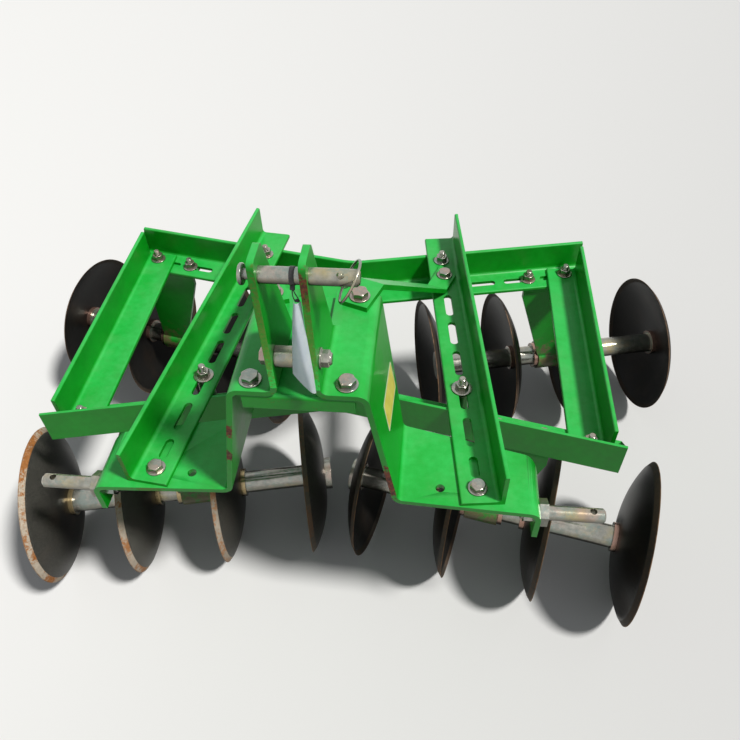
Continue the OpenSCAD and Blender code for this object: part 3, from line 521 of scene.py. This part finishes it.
PIN_RADIUS, PIN_HEAD, PIN_NECK = 0.0095, 0.0120, 0.0060
along_pin = Matrix.Translation((0, PIN_SETBACK - DATUM, PIN_HEIGHT))
shape = bmesh.new()
spin_solid(shape, [(-0.0440, 0.0), (-0.0440, PIN_HEAD - 0.0012), (-0.0428, PIN_HEAD), (-0.0402, PIN_HEAD),
                   (-0.0390, PIN_HEAD - 0.0012), (-0.0390, PIN_NECK), (-0.0320, PIN_NECK),
                   (-0.0320, PIN_RADIUS - 0.0007), (-0.0313, PIN_RADIUS), (0.0820, PIN_RADIUS),
                   (0.0850, PIN_RADIUS - 0.0030), (0.0850, 0.0)], 48, along_pin)
link_pin = smooth_piece("link_pin", shape, pin_zinc, 30)
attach(link_pin, "frame")
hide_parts("upper_pin")


# The mast bolt, low in the ears: a plated bolt through both of them and the spacer tube, with a flat
# washer under its head on the left and another under its nut on the right.
def swung(degrees, axis):
    """A turn about an axis."""
    return Matrix.Rotation(math.radians(degrees), 4, axis)


bolt_zinc = yellow_zinc("zinc on bolts", pink=0.9, straw=0.3, dull=0.18, stain=0.45)
EAR_FACE, BOLT_RADIUS, WASHER_RADIUS, WASHER_THICK = 0.031, 0.0080, 0.0135, 0.0025
HEXAGON_CORNER = 0.0095 / math.cos(math.radians(30))
along_bolt = Matrix.Translation((0, BOLT_SETBACK - DATUM, BOLT_HEIGHT))
shape = bmesh.new()
spin_solid(shape, [(-0.0375, 0.0), (-0.0375, BOLT_RADIUS), (0.0445, BOLT_RADIUS),
                   (0.0460, BOLT_RADIUS - 0.0014), (0.0460, 0.0)], 32, along_bolt)
washer_face = EAR_FACE + WASHER_THICK
washer = [(EAR_FACE, 0.0), (EAR_FACE, WASHER_RADIUS - 0.0004), (EAR_FACE + 0.0004, WASHER_RADIUS),
          (washer_face - 0.0004, WASHER_RADIUS), (washer_face, WASHER_RADIUS - 0.0004), (washer_face, 0.0)]
for side, height, turn in ((-1, 0.0080, 12), (1, 0.0100, 41)):
    top = washer_face + height
    hexagon = [(washer_face - 0.0001, 0.0), (washer_face - 0.0001, HEXAGON_CORNER),
               (top - 0.0018, HEXAGON_CORNER), (top, HEXAGON_CORNER - 0.0016), (top, 0.0)]
    outward = along_bolt @ swung(180 if side < 0 else 0, "Z")
    spin_solid(shape, washer, 48, outward)
    spin_solid(shape, hexagon, 6, outward @ swung(turn, "X"))
ear_bolt = smooth_piece("ear_bolt", shape, bolt_zinc, 28)
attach(ear_bolt, "frame")
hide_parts("mast_bolt")


# The linch pin: a small plated pin that leans through the link pin's free end, kept there by a
# sprung ring of round wire through its head.
LINCH_ALONG, LINCH_REACH, LINCH_LEAN, LINCH_HEAD, LINCH_RADIUS = 0.065, 0.0255, 39, 0.0060, 0.0040
RING_RADIUS, RING_WIRE, RING_TURN, RING_SWING = 0.024, 0.0015, -19, 22
linch = along_pin @ Matrix.Translation((LINCH_ALONG, 0, 0)) @ swung(LINCH_LEAN, "X")
shape = bmesh.new()
spin_solid(shape, [(-0.0295, 0.0), (-0.0295, LINCH_HEAD - 0.0010), (-0.0285, LINCH_HEAD),
                   (-0.0225, LINCH_HEAD), (-0.0215, LINCH_HEAD - 0.0010), (-0.0215, LINCH_RADIUS),
                   (0.0110, LINCH_RADIUS), (0.0135, 0.0018), (0.0135, 0.0)],
           28, linch @ swung(-90, "Y"))
swing = linch @ Matrix.Translation((0, 0, -LINCH_REACH)) @ swung(RING_TURN, "Z")
swing @= swung(RING_SWING, "Y") @ Matrix.Translation((0, 0, RING_RADIUS))
spin_solid(shape, arc((0, RING_RADIUS), RING_WIRE, 0, 330, 11), 64, swing)
ring_pin = smooth_piece("ring_pin", shape, pin_zinc, 40)
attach(ring_pin, "frame")
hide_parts("linch_pin")


# The frame's bolts: hexagon heads or nuts on flat washers, with the bolt's thread showing past each
# nut. M12 fasteners in yellow zinc, run down on the paint and left at whatever turn they stopped.
def lifted(tree, mesh, height):
    """Raises a mesh by a height."""
    rise = node(tree, "ShaderNodeCombineXYZ", Z=height)
    return node(tree, "GeometryNodeTransform", Geometry=mesh, Translation=rise)


def turned_hexagon(tree, flats, height, foot):
    """A hexagon prism standing at height foot, its top corners turned off by a cone."""
    corner = times(tree, flats, 1 / math.sqrt(3))
    prism = node(tree, "GeometryNodeMeshCylinder", {"fill_type": "NGON"}, Vertices=6, Radius=corner,
                 Depth=height)
    crown = times(tree, flats, 0.475)
    cone = node(tree, "GeometryNodeMeshCone", {"fill_type": "NGON"}, Vertices=36, Radius_Top=crown,
                Depth=height, Radius_Bottom=times_plus(tree, height, 1.75, crown))
    cut = node(tree, "GeometryNodeMeshBoolean", {"operation": "INTERSECT", "solver": "EXACT"})
    join(tree, prism, cut.inputs["Mesh 2"])
    join(tree, lifted(tree, cone.outputs["Mesh"], times(tree, height, -0.5)), cut.inputs["Mesh 2"])
    return lifted(tree, cut.outputs["Mesh"], times_plus(tree, height, 0.5, foot))


def washer_under(tree, given):
    """A flat washer swept round a circle, with its edges rounded."""
    half = times(tree, given["Washer"], 0.5)
    band = sum_up(tree, "SUBTRACT", half, 0.0062)
    middle = sum_up(tree, "SUBTRACT", half, times(tree, band, 0.5))
    path = node(tree, "GeometryNodeCurvePrimitiveCircle", Resolution=32, Radius=middle)
    section = node(tree, "GeometryNodeCurvePrimitiveQuadrilateral", Width=band, Height=given["Washer Thick"])
    soft = node(tree, "GeometryNodeFilletCurve", {"mode": "POLY"}, Curve=section, Count=2,
                Radius=0.0006)
    swept = node(tree, "GeometryNodeCurveToMesh", Curve=path, Profile_Curve=soft)
    return lifted(tree, swept, times(tree, given["Washer Thick"], 0.5))


def threaded(tree, across, length, foot, pitch):
    """The threaded end of a bolt: a rod whose side rises and falls with the helix."""
    rod = node(tree, "GeometryNodeMeshCylinder", {"fill_type": "NGON"}, Vertices=24, Side_Segments=44,
               Radius=times(tree, across, 0.5), Depth=length)
    at = node(tree, "ShaderNodeSeparateXYZ", Vector=node(tree, "GeometryNodeInputPosition")).outputs
    angle = sum_up(tree, "ARCTAN2", at["Y"], at["X"])
    phase = sum_up(tree, "SUBTRACT", sum_up(tree, "DIVIDE", at["Z"], pitch),
                   sum_up(tree, "DIVIDE", angle, 2 * math.pi))
    wave = sum_up(tree, "PINGPONG", phase, 0.5)
    half = times(tree, length, 0.5)
    end = ramp(tree, at["Z"], times_plus(tree, pitch, -0.9, half), half)
    deep = sum_up(tree, "ADD", times(tree, wave, 0.24), times(tree, end, 0.16))
    shrink = sum_up(tree, "SUBTRACT", 1.0, deep)
    moved = node(tree, "ShaderNodeCombineXYZ", X=times(tree, at["X"], shrink),
                 Y=times(tree, at["Y"], shrink), Z=at["Z"])
    cut = node(tree, "GeometryNodeSetPosition", Geometry=rod.outputs["Mesh"], Position=moved)
    return lifted(tree, cut, times_plus(tree, length, 0.5, foot))


def on_points(tree, given, parts):
    """Stands the parts on every point, turned at random about its axis, then makes it one mesh."""
    whole = tree.nodes.new("GeometryNodeJoinGeometry")
    for part in reversed(parts):
        join(tree, part, whole.inputs[0])
    spin = node(tree, "FunctionNodeRandomValue", {"data_type": "FLOAT"}, Min=0.0, Max=math.pi / 3,
                Seed=given["Seed"])
    axis = node(tree, "GeometryNodeInputNamedAttribute", {"data_type": "FLOAT_VECTOR"}, Name="stand")
    stand = node(tree, "FunctionNodeAlignRotationToVector", {"axis": "Z"}, Vector=axis)
    turn = node(tree, "FunctionNodeRotateRotation", {"rotation_space": "LOCAL"}, Rotation=stand,
                Rotate_By=node(tree, "ShaderNodeCombineXYZ", Z=spin.outputs["Value"]))
    seated = node(tree, "GeometryNodeInstanceOnPoints", Points=given["Geometry"], Instance=whole,
                  Rotation=turn)
    solid = node(tree, "GeometryNodeRealizeInstances", Geometry=seated)
    return node(tree, "GeometryNodeSetMaterial", Geometry=solid, Material=given["Finish"])


MESH_IN, MESH_OUT = [("Geometry", "Geometry", None)], [("Geometry", "Geometry")]
FITTED = [("Across Flats", "Float", 0.019), ("Washer", "Float", 0.027), ("Washer Thick", "Float", 0.0025),
          ("Finish", "Material", None)]
head_tree, head, head_out = new_group("bolt heads", MESH_IN + FITTED + [
    ("Head Height", "Float", 0.0075), ("Seed", "Int", 3)], MESH_OUT, "GeometryNodeTree")
join(head_tree, on_points(head_tree, head, [
    washer_under(head_tree, head),
    turned_hexagon(head_tree, head["Across Flats"], head["Head Height"], head["Washer Thick"]),
]), head_out[0])

nut_tree, nut, nut_out = new_group("nuts and thread ends", MESH_IN + FITTED + [
    ("Nut Height", "Float", 0.0105), ("Bolt", "Float", 0.012), ("Thread", "Float", 0.009),
    ("Pitch", "Float", 0.00175), ("Seed", "Int", 5)], MESH_OUT, "GeometryNodeTree")
nut_top = sum_up(nut_tree, "ADD", nut["Washer Thick"], nut["Nut Height"])
join(nut_tree, on_points(nut_tree, nut, [
    washer_under(nut_tree, nut),
    turned_hexagon(nut_tree, nut["Across Flats"], nut["Nut Height"], nut["Washer Thick"]),
    threaded(nut_tree, nut["Bolt"], nut["Thread"], nut_top, nut["Pitch"]),
]), nut_out[0])


def grow(name, tree, points, settings):
    """Runs a geometry tree on points, each with the way its fastener stands, and keeps one plain mesh."""
    seats = bpy.data.meshes.new(name)
    seats.from_pydata([at for at, way in points], [], [])
    stand = seats.attributes.new("stand", "FLOAT_VECTOR", "POINT")
    for index, (at, way) in enumerate(points):
        stand.data[index].vector = way
    carrier = placed(name + "_seats", seats)
    maker = carrier.modifiers.new("make", "NODES")
    maker.node_group = tree
    for item in tree.interface.items_tree:
        if item.in_out == "INPUT" and item.name in settings:
            maker[item.identifier] = settings[item.name]
    carrier.data.update_tag()
    evaluated = carrier.evaluated_get(bpy.context.evaluated_depsgraph_get())
    mesh = bpy.data.meshes.new_from_object(evaluated)
    mesh.name = name
    bpy.data.objects.remove(carrier)
    return placed(name, mesh)


SLOT_INSET, BEAM_TOE, BEAM_CORNER = 0.0365, math.radians(6.8), (0.279, 0.005)
MEMBERS = {"front": (0.219, math.radians(12), -1), "rear": (0.557, math.radians(11.5), 1)}
BEAM_LEG, BEAM_UNDER, MEMBER_LEG, MEMBER_UNDER, HANGER_UNDER = 0.44135, 0.435, 0.37785, 0.3715, 0.3635
TOP_FLANGE, CROSS_UNDER, STRAP, WING_UNDER, SIDE_LEG = 0.655, 0.641, 0.008, 0.427, 0.00635
TOP_BOLT, TOP_BOLT_ROWS = 0.061, ((0.019, 0), (0.179, STRAP))


def beam_slot(along, side):
    """A place on the plan of a beam's row of slots, measured from the beam's front end."""
    x = BEAM_CORNER[0] - SLOT_INSET * math.cos(BEAM_TOE) - along * math.sin(BEAM_TOE)
    y = BEAM_CORNER[1] - SLOT_INSET * math.sin(BEAM_TOE) + along * math.cos(BEAM_TOE)
    return Vector((side * x, y - DATUM, 0))


def member_slot(end, along, side):
    """A place on the plan of a member's row of slots, measured from the middle of the harrow."""
    face, bend, sweep = MEMBERS[end]
    x = along * math.cos(bend) + SLOT_INSET * math.sin(bend)
    y = face + sweep * (along * math.sin(bend) - SLOT_INSET * math.cos(bend))
    return Vector((side * x, y - DATUM, 0))


def bolt_down(at, top, foot, above, below):
    """Seats one bolt: a head or a nut above the clamped pieces, and the other end below them."""
    above.append((at + Vector((0, 0, top)), Vector((0, 0, 1))))
    below.append((at + Vector((0, 0, foot)), Vector((0, 0, -1))))


heads_up, heads_down, nuts_up, nuts_down, broad_up = [], [], [], [], []
for side in (-1, 1):
    bolt_down(beam_slot(0.025, side), BEAM_LEG, WING_UNDER, heads_up, nuts_down)
    for setback, strap in TOP_BOLT_ROWS:
        at = Vector((side * TOP_BOLT, setback - DATUM, 0))
        bolt_down(at, TOP_FLANGE + strap, CROSS_UNDER, heads_up, nuts_down)
    bolt_down(beam_slot(0.2209, side), BEAM_LEG, MEMBER_UNDER, broad_up, heads_down)
    bolt_down(beam_slot(0.508, side), BEAM_LEG + STRAP, BEAM_UNDER, heads_up, nuts_down)
    bolt_down(beam_slot(0.563, side), BEAM_LEG, MEMBER_UNDER, nuts_up, heads_down)
    bolt_down(member_slot("rear", 0.35425, side), MEMBER_LEG, HANGER_UNDER, nuts_up, heads_down)
    bolt_down(member_slot("rear", 0.42925, side), MEMBER_LEG + SIDE_LEG, HANGER_UNDER, nuts_up, heads_down)
    for along in (0.27925, 0.35425):
        bolt_down(member_slot("front", along, side), MEMBER_LEG, HANGER_UNDER, heads_up, nuts_down)
    bolt_down(member_slot("front", 0.42925, side), MEMBER_LEG + SIDE_LEG, MEMBER_UNDER, nuts_up, heads_down)

for name, tree, points, settings in (
        ("bolt_heads", head_tree, heads_up, {"Head Height": 0.0085, "Across Flats": 0.0205, "Washer": 0.029}),
        ("bolt_heads_under", head_tree, heads_down, {"Seed": 8}),
        ("nuts", nut_tree, nuts_up, {"Nut Height": 0.011, "Washer": 0.030}),
        ("nuts_under", nut_tree, nuts_down, {"Thread": 0.007, "Seed": 11}),
        ("nuts_broad", nut_tree, broad_up, {"Thread": 0.012, "Washer": 0.034})):
    fasteners = grow(name, tree, points, {"Finish": bolt_zinc, **settings})
    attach(fasteners, "frame")


# The four gangs: dished discs threaded on a square axle with spools between them. The discs are
# pressed from heat-treated steel, blackened in oil, ground to a bevel and rusting at the rim.
SEAT, RIM, DISH, STEEL, BEVEL, EDGE = 0.032, 0.150, 0.035, 0.0032, 0.009, 0.0008
FIRST_DISC, DISC_PITCH, AXLE_HOLE, HUB_RADIUS = -0.2475, 0.165, 0.0256, 0.013


def disc_black(name, middle, turn, rusty, dusty_face):
    """Black disc steel; rusty lists how rusty each disc's bevel is, dusty_face how dusty the faces are."""
    material, tree = new_finish(name)
    place = own_place(tree)
    gang, part, radius = about_axle(tree, middle, turn)
    angle = sum_up(tree, "ARCTAN2", part["Z"], part["Y"])
    which = sum_up(tree, "DIVIDE", sum_up(tree, "ADD", part["X"], -FIRST_DISC), DISC_PITCH)

    def is_disc(index):
        """1 on one disc of the gang and 0 on the others."""
        apart = sum_up(tree, "ABSOLUTE", sum_up(tree, "SUBTRACT", which, index))
        return sum_up(tree, "LESS_THAN", apart, 0.5)

    round_place = node(tree, "ShaderNodeCombineXYZ", X=times(tree, sum_up(tree, "COSINE", angle), 3.0),
                       Y=times(tree, sum_up(tree, "SINE", angle), 3.0),
                       Z=times_plus(tree, radius, 3.0, times(tree, which, 7.3)))
    strokes = grain(tree, round_place, 26.0, 4.0, 0.7)
    long_place = node(tree, "ShaderNodeMapping", Vector=round_place, Scale=(1.0, 1.0, 0.55))
    hairs = ramp(tree, grain(tree, long_place, 95.0, 2.0, 0.8), 0.44, 0.66)
    cloud = grain(tree, place, 14.0, 5.0, 0.6)
    groove_place = node(tree, "ShaderNodeCombineXYZ", X=times(tree, radius, 900.0),
                        Y=times(tree, angle, 0.6), Z=which)
    grooves = grain(tree, groove_place, 1.0, 2.0)
    colour = tint(tree, strokes, (0.0035, 0.0035, 0.0035), (0.012, 0.011, 0.010))
    # Painted sheen: cloudy brown patches on the black faces stand in for a brownish reflection.
    painted_brown_sheen = times(tree, ramp(tree, cloud, 0.48, 0.70), 0.45)
    colour = tint(tree, painted_brown_sheen, colour, (0.026, 0.017, 0.011))
    film = times_plus(tree, is_disc(2.0), dusty_face * 0.6, dusty_face)
    grey = times(tree, times(tree, hairs, ramp(tree, radius, 0.045, 0.12)), film)
    colour = tint(tree, grey, colour, (0.27, 0.26, 0.22))
    bevel = ramp(tree, times_plus(tree, strokes, 0.0016, radius), RIM - BEVEL + 0.0005, RIM - BEVEL + 0.0014)
    amount = 0.0
    for index, level_of in enumerate(rusty):
        amount = times_plus(tree, is_disc(float(index)), level_of, amount)
    cream = tint(tree, grain(tree, gang, 170.0, 4.0, 0.7), (0.34, 0.27, 0.20), (0.80, 0.70, 0.56))
    ground = tint(tree, amount, (0.018, 0.014, 0.011), cream)
    patch = times_plus(tree, grain(tree, gang, 24.0, 3.0, 0.5), 0.6,
                       times(tree, grain(tree, gang, 190.0, 5.0, 0.75), 0.5))
    orange = tint(tree, grain(tree, place, 260.0, 4.0), (0.16, 0.045, 0.012), (0.66, 0.28, 0.085))
    rim_colour = tint(tree, times(tree, ramp(tree, patch, 0.52, 0.62), amount), ground, orange)
    colour = tint(tree, bevel, colour, rim_colour)
    lip = ramp(tree, radius, RIM - 0.0013, RIM - 0.0003)
    lip_patch = ramp(tree, grain(tree, gang, 60.0, 4.0, 0.65), 0.40, 0.62, 0.25, 0.95)
    colour = tint(tree, times(tree, lip, lip_patch), colour, (0.30, 0.175, 0.095))
    rough = times_plus(tree, bevel, 0.30, times_plus(tree, strokes, 0.14, 0.30))
    rough = times_plus(tree, grey, 0.3, rough)
    bump = node(tree, "ShaderNodeBump", Strength=0.12, Distance=0.0004,
                Height=times_plus(tree, strokes, 0.5, grooves))
    steel_shader = node(tree, "ShaderNodeBsdfPrincipled", Base_Color=colour, Roughness=rough,
                        Normal=bump, Specular_IOR_Level=0.16)
    show(tree, steel_shader)
    return material


def local_matrix(joint_name):
    """The gang's own frame from its joint: X outward along the axle, Z up."""
    joint = next(j for j in frame["joints"] if j["name"] == joint_name)
    x = Vector(joint["axis"]).normalized() * (-1 if "left" in joint_name else 1)
    z = Vector((0, 0, 1))
    return Matrix.Translation(Vector(joint["pos_m"])) @ Matrix((x, z.cross(x), z)).transposed().to_4x4()


ball = ((RIM - SEAT) ** 2 + DISH ** 2) / (2 * DISH)


def dish(r):
    """How far the dish has risen at radius r."""
    return 0.0 if r <= SEAT else ball - math.sqrt(ball * ball - (r - SEAT) ** 2)


radii = [SEAT + (RIM - BEVEL - SEAT) * i / 22 for i in range(23)]
back = [(0.0, HUB_RADIUS)] + [(dish(r), r) for r in radii] + [(dish(RIM) + STEEL - EDGE, RIM)]
front = [(dish(RIM) + STEEL, RIM)] + [(dish(r) + STEEL, r) for r in reversed(radii)] + [(STEEL, HUB_RADIUS)]
rust_of = {"front_left": (0.25, 0.75, 0.9, 1.0), "front_right": (0.10, 0.12, 0.10, 0.05),
           "rear_left": (0.05, 0.10, 0.05, 0.03), "rear_right": (0.03, 0.06, 0.05, 0.03)}
for end, hollow in (("front", 1), ("rear", -1)):
    for side in ("left", "right"):
        own = local_matrix(f"gang_{end}_{side}_spin")
        turn = own.to_euler().z
        steel = disc_black(f"black disc steel {end} {side}", tuple(own.translation), turn,
                           rust_of[f"{end}_{side}"], 0.62 if (end, side) == ("front", "left") else 0.05)
        shape = bmesh.new()
        for index in range(4):
            seat = Matrix.Translation((FIRST_DISC + DISC_PITCH * index - hollow * STEEL / 2, 0, 0))
            spin_solid(shape, back + front, 144, own @ seat @ Matrix.Scale(hollow, 4, (1, 0, 0)), AXLE_HOLE)
        discs = smooth_piece(f"blades_{end}_{side}", shape, steel, 28)
        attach(discs, f"gang_{end}_{side}")
        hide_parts(f"discs_{end}_{side}")


# The spools and axles: tubes with a collar at each end, clamped between the discs by the square
# axle's nut. Turned steel in yellow zinc, pinker at the collars, smeared where soil has rubbed.
GOLD, COPPER = (0.52, 0.38, 0.17), (0.50, 0.27, 0.20)
axle_zinc = yellow_zinc("zinc on axles", pink=0.9, straw=0.5, dull=0.26, stain=0.8)
for end in ("front", "rear"):
    for side in ("left", "right"):
        own = local_matrix(f"gang_{end}_{side}_spin")
        collar = COPPER if (end, side) != ("front", "left") else GOLD
        spool_zinc = yellow_zinc(f"zinc on {end} {side} spools", pink=0.3, straw=0.5, dull=0.16, stain=0.45,
                                 collars=(own.translation, own.to_euler().z, collar))
        finish_node(f"spools_{end}_{side}", spool_zinc)
        finish_node(f"axle_{end}_{side}", axle_zinc)


# The bare sticker on the right wall: a yellow field with a pale border, on foil a third of a
# millimetre thick, with rounded corners. Nothing is printed on it.
def sticker_vinyl():
    """Yellow vinyl with a pale border, sun-bleached in patches."""
    material, tree = new_finish("yellow vinyl")
    tone = use(tree, blotch, Scale=60.0)
    inner = node(tree, "ShaderNodeAttribute", {"attribute_name": "field"}).outputs["Fac"]
    yellow = tint(tree, tone["Tone"], (0.70, 0.58, 0.07), (0.84, 0.74, 0.16))
    colour = tint(tree, ramp(tree, inner, 0.45, 0.55), (0.74, 0.76, 0.60), yellow)
    vinyl = node(tree, "ShaderNodeBsdfPrincipled", Base_Color=colour,
                 Roughness=times_plus(tree, tone["Tone"], 0.15, 0.30))
    show(tree, vinyl)
    return material


def rounded_outline(width, height, corner, steps):
    """The outline of a rounded rectangle about its middle."""
    points = []
    for k, (sx, sy) in enumerate(((1, 1), (-1, 1), (-1, -1), (1, -1))):
        for i in range(steps + 1):
            a = math.pi / 2 * (k + i / steps)
            points.append((sx * (width / 2 - corner) + corner * math.cos(a),
                           sy * (height / 2 - corner) + corner * math.sin(a)))
    return points


WALL_FOOT, WALL_TOP, WALL_FOOT_HEIGHT, WALL_HIGH = 0.126, 0.0885, 0.435, 0.220
STICKER_SETBACK, STICKER_HEIGHT, STICKER_TILT = 0.1035, 0.545, math.radians(-6)
STICKER_CORNER, FOIL = 0.004, 0.0003
lean = math.atan2(WALL_FOOT - WALL_TOP, WALL_HIGH)
wall_out = Vector((math.cos(lean), 0, math.sin(lean)))
wall_up = Vector((-math.sin(lean), 0, math.cos(lean)))
run = Vector((0, math.cos(STICKER_TILT), 0)) + wall_up * math.sin(STICKER_TILT)
rise = Vector((0, -math.sin(STICKER_TILT), 0)) + wall_up * math.cos(STICKER_TILT)
sticker_middle = Vector((WALL_FOOT, STICKER_SETBACK - DATUM, WALL_FOOT_HEIGHT))
sticker_middle += wall_up * ((STICKER_HEIGHT - WALL_FOOT_HEIGHT) / math.cos(lean))
shape = bmesh.new()
field = shape.verts.layers.float.new("field")
loops = []
for width, height, lift, inside in ((0.098, 0.050, 0.0, 0), (0.098, 0.050, FOIL, 0),
                                    (0.094, 0.046, FOIL, 0), (0.093, 0.045, FOIL, 1)):
    loop = []
    for u, v in rounded_outline(width, height, STICKER_CORNER, 6):
        vert = shape.verts.new(sticker_middle + run * u + rise * v + wall_out * (lift + 0.00005))
        vert[field] = inside
        loop.append(vert)
    loops.append(loop)
for a, b in zip(loops, loops[1:]):
    walls(shape, a, b)
shape.faces.new(loops[-1])
shape.faces.new(loops[0][::-1])
sticker = smooth_piece("bare_sticker", shape, sticker_vinyl(), 30)
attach(sticker, "frame")


# The blank tag: a tapered card of white plastic, tied to the upper pin by a black cable tie and a
# knotted twist of wire. It hangs before the ears, bulges along a slanting fold and ends in a slant.
def white_card():
    """White plastic card, thin enough for light to show through."""
    material, tree = new_finish("white card")
    tone = use(tree, blotch, Scale=45.0)
    colour = tint(tree, tone["Tone"], (0.84, 0.89, 0.94), (0.92, 0.95, 0.97))
    bump = node(tree, "ShaderNodeBump", Strength=0.2, Distance=0.0006, Height=tone["Height"])
    card = node(tree, "ShaderNodeBsdfPrincipled", Base_Color=colour,
                Roughness=times_plus(tree, tone["Tone"], 0.12, 0.38), Normal=bump)
    through = node(tree, "ShaderNodeBsdfTranslucent", Color=colour)
    both = node(tree, "ShaderNodeMixShader", Fac=0.5, n1=card, n2=through)
    show(tree, both)
    return material


tag_left = [Vector(at) for at in (
    (0.0129, 0.0000, 0.8056), (0.0088, -0.0008, 0.7797), (0.0057, -0.0010, 0.7525),
    (0.0026, -0.0006, 0.7223), (-0.0002, 0.0000, 0.6915))]
tag_right = [Vector(at) for at in (
    (0.0208, 0.0000, 0.8046), (0.0222, -0.0030, 0.7690), (0.0245, -0.0050, 0.7334),
    (0.0265, -0.0068, 0.6990), (0.0270, -0.0072, 0.6665))]
TAG_BULGE, CARD_THICK, ROWS, COLUMNS = 0.0090, 0.0003, 28, 14


def point_at(points, t):
    """A point at share t of a list of evenly spaced points."""
    at = min(t, 0.9999) * (len(points) - 1)
    return points[int(at)].lerp(points[int(at) + 1], at - int(at)) + Vector((0, -DATUM, 0))


shape = bmesh.new()
card_sides = []
for lift in (0, CARD_THICK):
    grid = []
    for r in range(ROWS + 1):
        t = r / ROWS
        left, right = point_at(tag_left, t), point_at(tag_right, t)
        fold = 0.30 + 0.50 * t
        deepest = TAG_BULGE * (0.35 + 0.65 * math.sin(math.pi * min(1, 0.15 + 0.75 * t)))
        row = []
        for c in range(COLUMNS + 1):
            u = c / COLUMNS
            off = (u - fold) / (fold if u < fold else 1 - fold)
            bulge = deepest * (1 - off * off)
            row.append(shape.verts.new(left.lerp(right, u) + Vector((0, -bulge - lift, 0))))
        grid.append(row)
    card_sides.append(grid)
    for above, below in zip(grid, grid[1:]):
        for c in range(COLUMNS):
            quad = (above[c], above[c + 1], below[c + 1], below[c])
            shape.faces.new(quad if lift else quad[::-1])
border = [(0, c) for c in range(COLUMNS)] + [(r, COLUMNS) for r in range(ROWS)]
border += [(ROWS, c) for c in range(COLUMNS, 0, -1)] + [(r, 0) for r in range(ROWS, 0, -1)]
walls(shape, *([grid[r][c] for r, c in border] for grid in card_sides))
tag = smooth_piece("blank_tag", shape, white_card(), 60)
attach(tag, "frame")

tie_black, tree = new_finish("black nylon")
tone = use(tree, blotch, Scale=120.0)
nylon = node(tree, "ShaderNodeBsdfPrincipled",
             Base_Color=tint(tree, tone["Tone"], (0.012, 0.012, 0.013), (0.045, 0.043, 0.040)),
             Roughness=times_plus(tree, tone["Tone"], 0.2, 0.4))
show(tree, nylon)


def tube(shape, path, radius, sides):
    """A round strand along a path of points, closed at both ends."""
    rings = []
    for i, at in enumerate(path):
        heading = (path[min(i + 1, len(path) - 1)] - path[max(i - 1, 0)]).normalized()
        side_way = heading.cross(Vector((0.3, 1, 0.2))).normalized()
        other = heading.cross(side_way)
        ring = []
        for k in range(sides):
            a = 2 * math.pi * k / sides
            ring.append(shape.verts.new(at + (side_way * math.cos(a) + other * math.sin(a)) * radius))
        rings.append(ring)
    for a, b in zip(rings, rings[1:]):
        walls(shape, a, b)
    shape.faces.new(rings[0][::-1])
    shape.faces.new(rings[-1])


TIE_ACROSS, TIE_HALF, TIE_INNER, TIE_OUTER = 0.0135, 0.0027, 0.00952, 0.01035
STRAND_RADIUS, KNOT_RADIUS = 0.0006, 0.0020
shape = bmesh.new()
pin_middle = Vector((TIE_ACROSS, PIN_SETBACK - DATUM, PIN_HEIGHT))
spin_solid(shape, [(-TIE_HALF, TIE_INNER), (-TIE_HALF, TIE_OUTER), (TIE_HALF, TIE_OUTER),
                   (TIE_HALF, TIE_INNER)], 40, Matrix.Translation(pin_middle))
lock_place = Matrix.Translation(pin_middle + Vector((0.0, -0.0085, -0.0095)))
lock_size = Matrix.Diagonal((0.0050, 0.0042, 0.0036, 1))
bmesh.ops.create_cube(shape, size=1, matrix=lock_place @ swung(40, "X") @ lock_size)
for swing_out, ends_at in ((0.0010, 0.0150), (-0.0012, 0.0190)):
    hang = []
    for i in range(15):
        t = i / 14
        x = TIE_ACROSS + (ends_at - TIE_ACROSS) * t - swing_out * math.sin(3 * t)
        y = PIN_SETBACK - 0.0125 * math.sin(math.pi / 2 * min(1, t + 0.5)) + 0.004 * t - DATUM
        hang.append(Vector((x, y, PIN_HEIGHT - PIN_RADIUS - 0.0190 * t)))
    tube(shape, hang, STRAND_RADIUS, 8)
knot_place = Matrix.Translation((0.0172, -0.0012 - DATUM, 0.8060))
knot = bmesh.ops.create_icosphere(shape, subdivisions=3, radius=KNOT_RADIUS, matrix=knot_place)
bmesh.ops.scale(shape, vec=(1.35, 1, 1), verts=knot["verts"], space=knot_place.inverted())
tie = smooth_piece("tag_tie", shape, tie_black, 40)
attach(tie, "frame")
